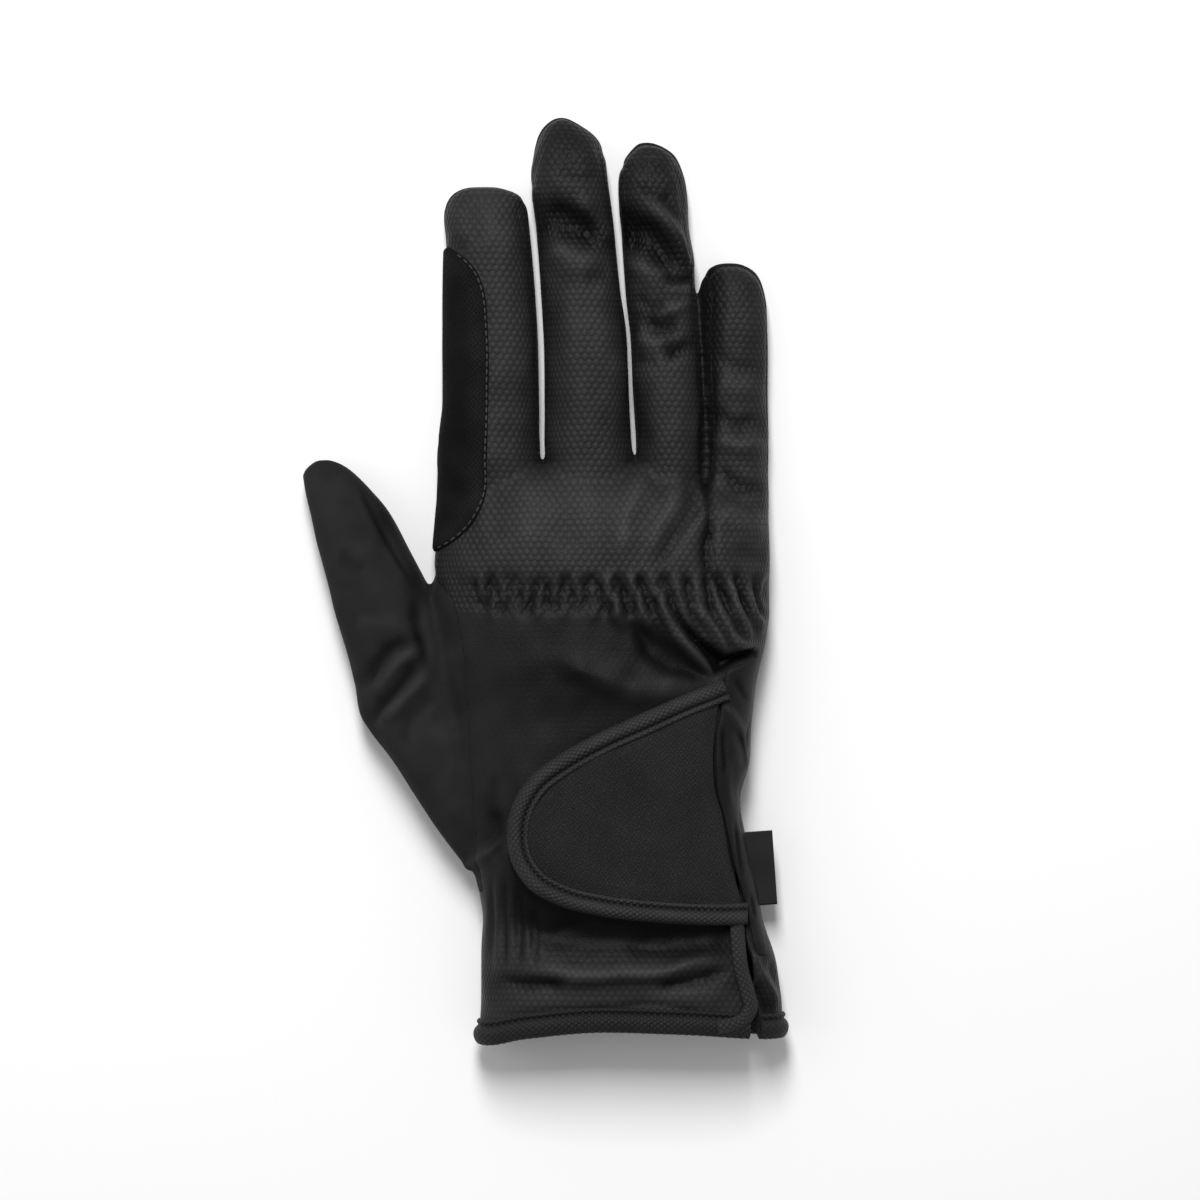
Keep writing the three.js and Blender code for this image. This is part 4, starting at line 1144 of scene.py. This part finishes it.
# What a finish doesn't say for itself
commonFinish = {
    "sheen": 0.02, "sheenRoughness": 0.45, "specular": 0.1, "grainScale": 2600, "grainHeight": 0.1,
    "paintedShade": 1.0,             # how much the cloth's tone follows the painted light and shade of the folds
    "wander": 0.4,           # how far the embossed rows stray, and how often
    "ripple": 0.22,
}
finishes = {
    "embossedMesh": {
        "colour": (0.0172, 0.0172, 0.0175), "roughness": 0.5, "specular": 0.12, "blotch": 0.18,
        "pitch": 1.9, "row": 1.55, "bumpTone": 0.4, "bumpHeight": 0.16,
    },
    "suede": {
        "colour": (0.0185, 0.0185, 0.0189), "roughness": 0.85, "sheen": 0.03, "sheenRoughness": 0.5,
        "specular": 0.05, "grainScale": 2200, "grainHeight": 0.16, "blotch": 0.16,
    },
    "patchSuede": {
        "colour": (0.0088, 0.0088, 0.009), "roughness": 0.9, "sheen": 0.01, "sheenRoughness": 0.5,
        "specular": 0.05, "grainScale": 1400, "grainHeight": 0.3, "blotch": 0.25, "paintedShade": 0.8,
        "pitch": 1.1, "row": 1.2, "bumpTone": 0.9, "bumpHeight": 0.12, "wander": 1.2, "ripple": 0.5,
    },
    "tabKnit": {
        "colour": (0.0155, 0.0155, 0.0158), "roughness": 0.75, "grainScale": 1500, "grainHeight": 0.25,
        "blotch": 0.15, "pitch": 1.0, "row": 1.2, "bumpTone": 0.7, "bumpHeight": 0.14, "wander": 1.6,
        "ripple": 0.55,
    },
    "bindingMesh": {
        "colour": (0.0215, 0.0215, 0.022), "roughness": 0.6, "sheenRoughness": 0.4, "specular": 0.15,
        "blotch": 0.12, "pitch": 1.35, "row": 1.2, "bumpTone": 0.6, "bumpHeight": 0.22,
    },
    "hookTape": {
        "colour": (0.008, 0.008, 0.008), "roughness": 0.9, "sheenRoughness": 0.5, "specular": 0.05,
        "grainScale": 1100, "grainHeight": 0.5, "blotch": 0.2,
    },
    "labelRibbon": {
        "colour": (0.0115, 0.0115, 0.0118), "roughness": 0.55, "sheenRoughness": 0.4, "specular": 0.15,
        "grainHeight": 0.08, "blotch": 0.08, "pitch": 0.5, "row": 1.0, "bumpTone": 0.2, "bumpHeight": 0.04,
    },
    "greyThread": {
        "colour": (0.045, 0.045, 0.046), "roughness": 0.5, "sheen": 0.03, "sheenRoughness": 0.3,
        "specular": 0.15, "grainScale": 4000, "blotch": 0.2,
    },
}
materials = {name: clothMaterial(name, finish) for name, finish in finishes.items()}
print("materials:", *materials)

# Panels

embossed = ("embossed_mesh", "embossedMesh")     # the panel's slot, and its finish
plainSuede = ("suede", "suede")
panelLooks = {
    "back_panel": embossed,
    "side_panel": embossed,
    "palm_panel": plainSuede,
    "thumb_panel": plainSuede,
    **{name: embossed for name in seams["fourchettes"]},
}
panel = {
    "embossOnHand": 0.12,    # of the emboss on the fingers and knuckles
    "embossOnCuff": 0.75,
    # the emboss ends along the foot of the gathers, which drops towards the little finger
    "gatherFoot": 106.5,
    "footDrop": 9,
    "dropFrom": (4, 24),
    "handFade": (-1, 3),     # from that foot upwards
    "cuffFade": (29, 16),
    "scrap": 40,             # faces of a loose scrap of cloth too small to keep
    "underside": 0.4,        # height of the cloth's inner face where it rests, of its thickness
}
gatherFoot = panel["gatherFoot"] - panel["footDrop"] * smoothstep(*panel["dropFrom"], base[:, 0])
fingers = smoothstep(*panel["handFade"], base[:, 1] - gatherFoot)
cuff = smoothstep(*panel["cuffFade"], base[:, 1])
embossing = panel["embossOnHand"] + (1 - panel["embossOnHand"]) * fingers \
    + (panel["embossOnCuff"] - panel["embossOnHand"]) * cuff
skinValues = np.hstack([skin, baseNormals, cloth, tone[:, None], embossing[:, None]])


# The part of the skin where a field is positive: its faces, and the columns of its values
def cutSkin(field, *more):
    faces, values = cutMesh(skinFaces, field, np.column_stack([skinValues, *more]))
    faces, values = largestOnly(faces, values, panel["scrap"])
    place, normal, flat, tone, emboss, more = np.split(values, (3, 6, 8, 9, 10), axis=1)
    return faces, place, normal, flat, tone.ravel(), emboss.ravel(), more.ravel()


# An object of cloth with an outer and an inner face, and the same values on both
def sheetPiece(name, outer, faces, inner, flat, tone, emboss):
    points, both = thicken(outer, faces, inner)
    attributes = {"tone": np.tile(tone, 2), "emboss": np.tile(emboss, 2)}
    return newObject(name, points, both, attributes, np.tile(flat, (2, 1)))


aboveEdge = aboveHem(base)
for name, (slot, look) in panelLooks.items():
    faces, outer, normal, flat, light, emboss, _ = cutSkin(np.minimum(fields[name], aboveEdge))
    inner = outer - normal * form["clothThickness"]
    inner[:, 2] = np.maximum(inner[:, 2], panel["underside"] * form["clothThickness"])
    piece = sheetPiece(name.replace("_", ""), outer, faces, inner, flat, light, emboss)
    dress(piece, slot, materials[look], name)


# A point above the skin's back, and the skin's normal there
def surfacePoint(x, y, lift):
    above = Vector((x, y, 2 * handHeight))
    place, normal, _, _ = skinTree.ray_cast(above, Vector((0, 0, -1)))
    return np.array(place) + np.array(normal) * lift, np.array(normal)


# Patch on the index finger

patch = {
    "outline": [
        (-44, 200), (-37.9, 198.6), (-34.6, 196.4), (-31.2, 193), (-28.8, 187.5), (-28, 180),
        (-27.6, 170), (-27.7, 160.5), (-28.1, 145), (-28.6, 135.5), (-30.4, 131.4), (-33.5, 127.4),
        (-38, 124), (-42, 122.2), (-44, 121.5),
    ],
    "lineStep": 1.2,
    "lowest": 2,
    "lift": 0.12,
    "underside": 0.06,
    "thickness": 0.7,
    "edge": 0.9,
    "grainFrom": 2.6,        # from the patch's edge to the middle of its grainy band
    "grainReach": 2.2,
    "leastGrain": 0.25,
    "stitchInset": (-0.434, -0.084),         # from the patch's line to its stitches
    "stitched": (3, -2),     # points of that line between which they lie
    "stitchPitch": 1.9,
    "stitchLength": 1.45,
    "thread": 0.22,
    # along a stitch and out from its middle, as shares of its length and thickness
    "stitchProfile": [
        (-0.5, 0.12), (-0.46, 0.5), (-0.34, 0.85), (0, 1.0), (0.34, 0.85), (0.46, 0.5), (0.5, 0.12),
    ],
    "stitchSides": 8,
    "longest": 2.5,          # pitches that a stitch may span before it is left out
}
patchLine = smoothLine(patch["outline"][1:-1], patch["lineStep"])
patchOutline = np.vstack([patch["outline"][:1], patchLine, patch["outline"][-1:]])
patchField = np.minimum(insideOutline(base[:, :2], patchOutline), base[:, 2] - patch["lowest"])
faces, place, normal, flat, light, _, fromEdge = cutSkin(patchField, patchField)
edgeShare = np.sqrt(np.clip(fromEdge / patch["edge"], 0, 1))
outer = place + normal * (patch["lift"] + patch["thickness"] * edgeShare)[:, None]
inner = place + normal * patch["underside"]
pebbles = np.exp(-((fromEdge - patch["grainFrom"]) / patch["grainReach"]) ** 2)
pebbles = patch["leastGrain"] + (1 - patch["leastGrain"]) * pebbles
piece = sheetPiece("indexPatch", outer, faces, inner, flat, light, pebbles)
dress(piece, "patch_suede", materials["patchSuede"], "index_patch")


# One mesh of short rounded stitches
def stitchMesh(places, directions, normals):
    points, faces = [], []
    for place, direction, normal in zip(places, directions, normals):
        direction = direction / np.linalg.norm(direction)
        across = np.cross(normal, direction)
        across /= np.linalg.norm(across)
        up = np.cross(direction, across)
        start = len(points)
        for along, wide in patch["stitchProfile"]:
            for i in range(patch["stitchSides"]):
                angle = 2 * math.pi * i / patch["stitchSides"]
                outward = (math.cos(angle) * across + math.sin(angle) * up) * wide * patch["thread"]
                points.append(place + direction * along * patch["stitchLength"] + outward)
        rows = len(patch["stitchProfile"])
        quads = gridFaces(rows, patch["stitchSides"], closed=True, capped=True)
        faces += [tuple(i + start for i in quad) for quad in quads]
    return np.array(points), faces


# Stitches along a line seen from above, laid on the patch
def patchStitches(line):
    line = smoothLine(line, patch["stitchPitch"])
    lift = patch["lift"] + patch["thickness"]
    places, directions, normals = [], [], []
    for a, b in zip(line[:-1], line[1:]):
        start, normal = surfacePoint(*a, lift)
        end, _ = surfacePoint(*b, lift)
        if np.linalg.norm(end - start) <= patch["longest"] * patch["stitchPitch"]:
            places.append((start + end) / 2)
            directions.append(end - start)
            normals.append(normal)
    return newObject("patchStitches", *stitchMesh(places, directions, normals))


stitchedLine = (patchLine + patch["stitchInset"])[slice(*patch["stitched"])]
dress(patchStitches(stitchedLine), "patch_suede", materials["greyThread"])

# Closure tab

tab = {
    "freeEdge": [
        (30.2, 91), (22.5, 88), (10, 82.5), (0, 78), (-10, 72.5), (-17.5, 66.7), (-21.4, 60.5),
        (-23, 53), (-21.8, 45.5), (-17.5, 39.2), (-10, 35), (0, 32.5), (12.5, 31), (25, 30.2), (36.6, 30),
    ],
    "seam": [
        (34.3, 38.5), (32.2, 45.5), (31.1, 51.8), (30, 58), (28.4, 63.5), (27.9, 70), (28, 75),
        (28.9, 82.8),
    ],
    "lift": 3.2,              # of its top face over the plain back of the hand
    "thickness": 1.5,
    "grid": 0.5,
    "seamStep": 0.6,
    "seamDip": 1.5,           # how far it is drawn down at its seam
    "dipReach": 1.9,
    "dipStep": 1.5,
    "wave": 0.16,
    "waveSize": 14,
    "waveSeed": 31,
    "edgeDip": 0.35,          # beside its binding
    "edgeDipReach": 1.4,
    "binding": 5.5,
    "overlap": 0.25,          # of tab and binding
    "bindingStep": 0.36,
    "profileStep": 0.3,
    "bindingDip": 0.6,        # of the tab's dip at the seam
    "knob": 0.085,
    # across from the free edge, and how light the binding is there: painted highlight on its roll and
    # ridge, painted shade in its groove and at its edges
    "bindingTones": [
        (0, 0.7), (1.2, 1.1), (2.2, 1.25), (3.2, 0.9), (3.85, 0.2), (4.4, 1.2), (5, 1.2), (5.45, 0.3),
    ],
    "lowTone": 0.5,           # and how light it is low down, where shade is painted
    "lowBelow": 2,
    # across from the free edge inwards, and height over the plain back
    "profile": [
        (1.3, 0.5), (0.4, 0.9), (0.0, 1.7), (0.15, 2.6), (0.7, 3.35), (1.5, 3.8), (2.3, 3.9), (3.0, 3.65),
        (3.55, 3.2), (3.85, 2.85), (4.1, 2.95), (4.45, 3.3), (4.85, 3.4), (5.2, 3.2), (5.45, 2.7),
        (5.4, 1.8), (4.4, 1.3), (2.8, 0.9),
    ],
}


def seamDip(xy):
    seam = smoothLine([tab["freeEdge"][-1], *tab["seam"], tab["freeEdge"][0]], tab["dipStep"])
    distance, _, _ = lineField(xy, seam)
    return tab["seamDip"] * np.exp(-(distance / tab["dipReach"]) ** 2)


# Points of a flat grid, and its triangles
def gridSheet(low, high, spacing):
    xs = np.arange(low[0], high[0], spacing)
    ys = np.arange(low[1], high[1], spacing)
    gx, gy = np.meshgrid(xs, ys)
    quads = np.array(gridFaces(len(ys), len(xs), closed=False))
    faces = np.vstack([quads[:, [0, 2, 1]], quads[:, [0, 3, 2]]])
    return np.stack([gx.ravel(), gy.ravel()], axis=1), faces


# A flat sheet over the back of the hand, where the field is positive
def overBack(name, field, top, thickness):
    faces, values = cutMesh(gridTriangles, field, np.column_stack([gridPoints, top]))
    faces, values = largestOnly(faces, values, panel["scrap"])
    points, both = thicken(values, faces, values - np.array([0, 0, thickness]))
    return newObject(name, points, both, cloth=points[:, :2])


freeEdge = smoothLine(tab["freeEdge"], tab["bindingStep"])
tabOutline = np.vstack([freeEdge, smoothLine(tab["seam"], tab["seamStep"])])
gridPoints, gridTriangles = gridSheet(freeEdge.min(axis=0) - 1, freeEdge.max(axis=0) + 1, tab["grid"])
plainBack = backHeight(*gridPoints.T)
toEdge, _, _ = lineField(gridPoints, freeEdge)
inTab = insideOutline(gridPoints, tabOutline)
tabField = np.where(inTab > 0, np.minimum(inTab, toEdge - tab["binding"] + tab["overlap"]), inTab)
flatPoints = np.column_stack([gridPoints, np.zeros(len(gridPoints))])
waves = tab["wave"] * clothNoise(flatPoints, tab["waveSize"], tab["waveSeed"])
besideBinding = np.exp(-((toEdge - tab["binding"]) / tab["edgeDipReach"]) ** 2)
tabTop = plainBack + tab["lift"] - seamDip(gridPoints) + waves - tab["edgeDip"] * besideBinding
piece = overBack("closureTab", tabField, tabTop, tab["thickness"])
dress(piece, "tab_knit", materials["tabKnit"], "closure_tab")

# Bindings

knobs = {"pitch": 1.35, "stretch": 1.3}      # small raised knobs in rows, as their mesh has


# Coordinates over a swept strip, in mm: round its profile and along it
def sweptCloth(rings):
    ahead = np.linalg.norm(np.diff(rings.mean(axis=1), axis=0), axis=1)
    along = np.concatenate([[0], np.cumsum(ahead)])
    around = np.linalg.norm(np.diff(rings, axis=1), axis=2).mean(axis=0)
    around = np.concatenate([[0], np.cumsum(around)])
    return np.stack(np.meshgrid(around, along), axis=2)


# The rings with their points moved along the strip's normals, in rows of knobs and dips
def knobbly(rings, place, height):
    around = np.roll(rings, -1, axis=1) - np.roll(rings, 1, axis=1)
    normal = np.cross(around, np.gradient(rings, axis=0))
    normal /= np.maximum(np.linalg.norm(normal, axis=2), 1e-9)[:, :, None]
    outward = rings - rings.mean(axis=1, keepdims=True)
    normal *= np.sign((normal * outward).sum(axis=(1, 2)))[:, None, None]
    turns = 2 * math.pi * place / knobs["pitch"]
    wave = np.cos(turns[:, :, 0]) * np.cos(turns[:, :, 1] / knobs["stretch"])
    return rings + normal * (height * wave)[:, :, None]


# A strip through rings of points, capped at both ends, with knobs if their height is given
def sweptPiece(name, rings, attributes=None, knob=0, turned=False):
    rings = np.array(rings)
    place = sweptCloth(rings)
    if knob:
        rings = knobbly(rings, place, knob)
    faces = gridFaces(*rings.shape[:2], closed=True, capped=True)
    if turned:
        faces = [face[::-1] for face in faces]
    return newObject(name, rings.reshape(-1, 3), faces, attributes, place.reshape(-1, 2))


# A smooth closed line through the points, without its first point again at the end
def closedProfile(points, step):
    return smoothLine(points + points[:1], step)[:-1]


# Rings of a band along a line seen from above, its profile reaching to the line's left
def bandAlong(line, profile, heightAt):
    tangent = np.gradient(line, axis=0)
    tangent /= np.linalg.norm(tangent, axis=1)[:, None]
    across, high = profile.T
    rings = []
    for place, ahead in zip(line, tangent):
        xy = place + across[:, None] * np.array([-ahead[1], ahead[0]])
        rings.append(np.column_stack([xy, heightAt(xy) + high]))
    return rings


profile = closedProfile(tab["profile"], tab["profileStep"])
rings = bandAlong(freeEdge, profile, lambda xy: backHeight(*xy.T) - tab["bindingDip"] * seamDip(xy))
# painted light and shade across the binding, and painted shade low down
light = np.interp(profile[:, 0], *np.array(tab["bindingTones"]).T)
light = np.where(profile[:, 1] < tab["lowBelow"], tab["lowTone"], light)
piece = sweptPiece("tabBinding", rings, {"tone": np.tile(light, len(rings))}, tab["knob"])
dress(piece, "binding_mesh", materials["bindingMesh"], "tab_binding")

# Hook and loop pad between tab and wrist

pad = {"edgeMargin": 9, "seamMargin": 4, "height": 1.4, "thickness": 1.0}
padField = np.where(inTab > 0, np.minimum(inTab - pad["seamMargin"], toEdge - pad["edgeMargin"]), inTab)
piece = overBack("hookPad", padField, plainBack + pad["height"], pad["thickness"])
dress(piece, "hook_tape", materials["hookTape"], "hook_pad")

# Strip beside the slit

strip = {
    # y, left edge, right edge, rise, and how much higher its right edge lies than its left
    "rows": [
        (95.2, 31.4, 39.4, 0.4, 3.2), (93.6, 31, 39.4, 1.7, 3.2), (89.5, 30.4, 38.4, 1.7, 2.4),
        (83, 29.7, 37.7, 1.6, 1), (76, 28.7, 36.2, 1.6, 0), (72.5, 28.5, 36.6, 1.8, 0),
        (69.6, 28.4, 37, 1.9, 0), (66.5, 28.6, 35.8, 1.8, 0), (63, 28.9, 34.6, 1.9, 0),
        (57, 30.6, 34.5, 1.9, 0), (51, 31.9, 35.6, 1.9, 0), (45, 33.2, 36.9, 1.9, 0),
        (38.5, 35.1, 38.6, 1.9, 0), (32, 36.8, 40, 1.9, 0), (26, 38, 41.2, 1.6, 0),
        (22.5, 39, 41.6, 0.5, 0),
    ],
    "creases": [
        (0.9, 0.9, 1.0, (31, 85), (33.4, 81.4), (36.6, 76.6)),
        (-1.1, 0.9, 1.1, (33.4, 79), (34.8, 75.4), (35.8, 71.6), (36, 68)),
        (-0.7, 0.7, 0.7, (30.4, 80), (30.6, 73), (31.2, 66)),
        (0.5, 0.7, 0.8, (32, 72), (32, 65), (33, 58)),
        (-0.7, 0.6, 0.6, (33.2, 57), (34, 49), (35.4, 41)),
        (-0.6, 0.6, 0.6, (37, 38), (38.4, 31)),
        (-0.6, 0.8, 0.8, (33, 92), (34.6, 88), (37, 85)),
    ],
    "sides": 30,
    "step": 0.4,
    "slope": 0.55,
    "lift": 0.25,
    "underside": 0.1,
    "tone": 0.5,
    # painted light and shade: lighter on raised creases, darker in sunk ones
    "creaseTone": 0.7,
    "toneRange": (0.08, 1.4),        # least and most
    "emboss": 0.1,
}
rows = np.array(strip["rows"])[::-1]
ys = np.arange(rows[0, 0], rows[-1, 0], strip["step"])
angle = np.linspace(0, math.pi, strip["sides"])
rings = []
for y, (left, right, rise, slant) in zip(ys, tableAt(rows, ys)):
    x = (left + right) / 2 + (right - left) / 2 * np.cos(angle)
    ahead = y + slant * (x - left) / (right - left) - slant / 2
    lift = strip["lift"] + rise * np.sin(angle) ** strip["slope"]
    top = np.column_stack([x, ahead, backHeight(x, ahead) + lift])
    under = top[-2:0:-1].copy()
    under[:, 2] = backHeight(*under[:, :2].T) + strip["underside"]
    rings.append(np.vstack([top, under]))
rings = np.array(rings)
crease = np.zeros(rings.size // 3)
addFolds(crease, rings.reshape(-1, 3)[:, :2], strip["creases"], np.zeros(len(crease)))
crease = crease.reshape(rings.shape[:2]) * (np.arange(rings.shape[1]) < strip["sides"])
rings[:, :, 2] += crease
# painted light and shade along the creases
light = np.clip(strip["tone"] + strip["creaseTone"] * crease, *strip["toneRange"]).ravel()
attributes = {"tone": light, "emboss": np.full(len(light), strip["emboss"])}
piece = sweptPiece("sideStrip", rings, attributes, turned=True)
dress(piece, "binding_mesh", materials["bindingMesh"], "side_strip")

# Hem binding

hemBinding = {
    # up from the cloth's edge, and out from the cloth's outer face
    "profile": [
        (5.3, 0.0), (5.15, 0.55), (4.7, 0.8), (4.25, 0.5), (3.95, 0.3), (3.6, 0.55), (2.9, 1.15),
        (1.9, 1.45), (0.8, 1.3), (-0.1, 0.9), (-0.75, 0.35), (-1.0, -0.4), (-0.8, -1.1), (-0.2, -1.7),
        (1.2, -2.0), (3.2, -2.0), (4.9, -1.8), (4.9, -1.3), (2.5, -1.25), (0.3, -1.2), (0.15, -0.5),
        (0.3, -0.1), (2.5, -0.1),
    ],
    "profileStep": 0.35,
    "angles": (44, 396, 0.45),       # first, last and step round the hem, in degrees
    "floor": 0.02,           # lowest place of the binding
    "knob": 0.05,            # height of its knobs
    "tone": 0.6,
    # painted shade in the grooves
    "grooveTone": 0.25,
    # place up from the edge and reach of the groove at its seam, and of the fold under it, where shade is
    # painted
    "seamGroove": (3.95, 0.45),
    "underFold": (-0.9, 0.7),
}
slitBinding = {
    "line": [
        (33.9, 31.5), (34.2, 26), (34.9, 19.5), (36.6, 13), (37.3, 9.6), (35.8, 6.8), (32.6, 5.4),
        (29, 4.9),
    ],
    "lineStep": 0.36,
    "profile": [
        (1.8, 0), (1.75, 0.9), (1.1, 1.6), (0, 1.85), (-1.1, 1.6), (-1.75, 0.9), (-1.8, 0), (0, -0.3),
    ],
    "profileStep": 0.3,
    "lift": 0.2,
    "knob": 0.05,
}


# A point of the binding at an angle round the hem, up from its edge and out from its face
def hemPoint(angle, up, out):
    y = np.zeros_like(angle)
    for _ in range(3):       # the hem's line gives y from x, and the section x from y
        section = sectionAt(tubes["hand"], y)
        x, z = roundSection(section, angle)
        y = tableAt(seams["hem"], x)[:, 0] + up
    turn = 0.01
    xa, za = roundSection(section, angle - turn)
    xb, zb = roundSection(section, angle + turn)
    across = np.stack([zb - za, xa - xb], axis=1)
    across /= np.maximum(np.linalg.norm(across, axis=1), 1e-9)[:, None]
    return np.stack([x + across[:, 0] * out, y, z + across[:, 1] * out], axis=1)


def grooveAt(up, groove):
    place, reach = groove
    return np.exp(-((up - place) / reach) ** 2)


angles = np.radians(np.arange(*hemBinding["angles"]))
profile = closedProfile(hemBinding["profile"], hemBinding["profileStep"])
rings = np.stack([hemPoint(angles, up, out) for up, out in profile], axis=1)
rings[:, :, 2] = np.maximum(rings[:, :, 2], hemBinding["floor"])
up, out = profile.T
# painted shade in the groove at the seam and in the fold under it
inGroove = grooveAt(up, hemBinding["seamGroove"]) * (out > 0) + grooveAt(up, hemBinding["underFold"])
light = hemBinding["tone"] + (hemBinding["grooveTone"] - hemBinding["tone"]) * np.clip(inGroove, 0, 1)
piece = sweptPiece("hemBinding", rings, {"tone": np.tile(light, len(rings))}, hemBinding["knob"])
dress(piece, "binding_mesh", materials["bindingMesh"], "hem_binding")

line = smoothLine(slitBinding["line"], slitBinding["lineStep"])
profile = closedProfile(slitBinding["profile"], slitBinding["profileStep"])
rings = bandAlong(line, profile, lambda xy: backHeight(*xy.T) + slitBinding["lift"])
piece = sweptPiece("slitBinding", rings, knob=slitBinding["knob"])
dress(piece, "binding_mesh", materials["bindingMesh"])

# Label

label = {
    "across": 39.98, "along": 43.5, "width": 7.2, "length": 18.5, "thickness": 0.9, "turn": 4, "lift": 1.9,
    # the folded ribbon seen from its end, as shares of its width and thickness
    "profile": [(-0.5, 0.1), (0.1, 0.05), (0.46, 0.05), (0.5, 0.5), (0.46, 0.95), (0.1, 0.9), (-0.5, 0.8)],
    "profileStep": 0.03,
    "rings": 38,
    "ripple": 0.12,          # rise and fall along it, and how fast that turns
    "rippleRate": 0.5,
}
turn = math.radians(label["turn"])
loop = smoothLine(label["profile"], label["profileStep"])
x = loop[:, 0] * label["width"]
rings = []
for y in np.linspace(-0.5, 0.5, label["rings"]) * label["length"]:
    ripple = label["ripple"] * math.sin(y * label["rippleRate"])
    rings.append(np.column_stack([
        label["across"] + x * math.cos(turn) - y * math.sin(turn),
        label["along"] + x * math.sin(turn) + y * math.cos(turn),
        seamHeight + label["lift"] + loop[:, 1] * label["thickness"] + ripple,
    ]))
dress(sweptPiece("loopLabel", rings), "label_ribbon", materials["labelRibbon"], "loop_label")

# Stage

stage = {
    "floorSize": 3.0,
    "floorColour": (0.96, 0.96, 0.96),
    "worldStrength": 0.36,
    "keyEnergy": 16,
    "keySize": (0.3, 0.7),
    "keyPlace": (-0.07, 0.75, 1.1),
    "fillEnergy": 1.5,
    "fillSize": (0.8, 0.8),
    "fillPlace": (-0.9, 0.1, 0.9),
    "lens": 150,
    "frameWidth": 0.3,
    "frameCentre": (0, 110.5),       # in the glove's own millimetres
    "scaleHeight": 0.009,            # at which the frame is as wide as that, in metres
}


def areaLight(name, place, energy, size):
    data = bpy.data.lights.new(name, "AREA")
    data.energy = energy
    data.shape = "RECTANGLE"
    data.size, data.size_y = size
    light = bpy.data.objects.new(name, data)
    light.location = place
    light.rotation_euler = (-Vector(place)).to_track_quat("-Z", "Y").to_euler()
    bpy.context.scene.collection.objects.link(light)


half = stage["floorSize"] / 2
floorMesh = bpy.data.meshes.new("floor")
corners = [(-half, -half, 0), (half, -half, 0), (half, half, 0), (-half, half, 0)]
floorMesh.from_pydata(corners, [], [(0, 1, 2, 3)])
floor = bpy.data.objects.new("floor", floorMesh)
bpy.context.scene.collection.objects.link(floor)
floorMaterial = bpy.data.materials.new("paleFloor")
floorMaterial.use_nodes = True
floorShader = floorMaterial.node_tree.nodes["Principled BSDF"]
floorShader.inputs["Base Color"].default_value = (*stage["floorColour"], 1)
floorShader.inputs["Roughness"].default_value = 0.9
floorShader.inputs["Specular IOR Level"].default_value = 0
floorMesh.materials.append(floorMaterial)

world = bpy.data.worlds.new("studio")
world.use_nodes = True
background = world.node_tree.nodes["Background"]
background.inputs["Color"].default_value = (1, 1, 1, 1)
background.inputs["Strength"].default_value = stage["worldStrength"]
bpy.context.scene.world = world
areaLight("key", stage["keyPlace"], stage["keyEnergy"], stage["keySize"])
areaLight("fill", stage["fillPlace"], stage["fillEnergy"], stage["fillSize"])

cameraData = bpy.data.cameras.new("camera")
cameraData.lens = stage["lens"]
cameraData.clip_start = 0.05
camera = bpy.data.objects.new("camera", cameraData)
distance = stage["frameWidth"] * stage["lens"] / cameraData.sensor_width
centre = (np.array([*stage["frameCentre"], 0]) + shift) * millimetre
camera.location = (centre[0], centre[1], stage["scaleHeight"] + distance)
camera.rotation_euler = (0, 0, 0)
bpy.context.scene.collection.objects.link(camera)
bpy.context.scene.camera = camera
bpy.context.scene.view_settings.view_transform = "Standard"
print("stage: floor, world, two lights and camera")
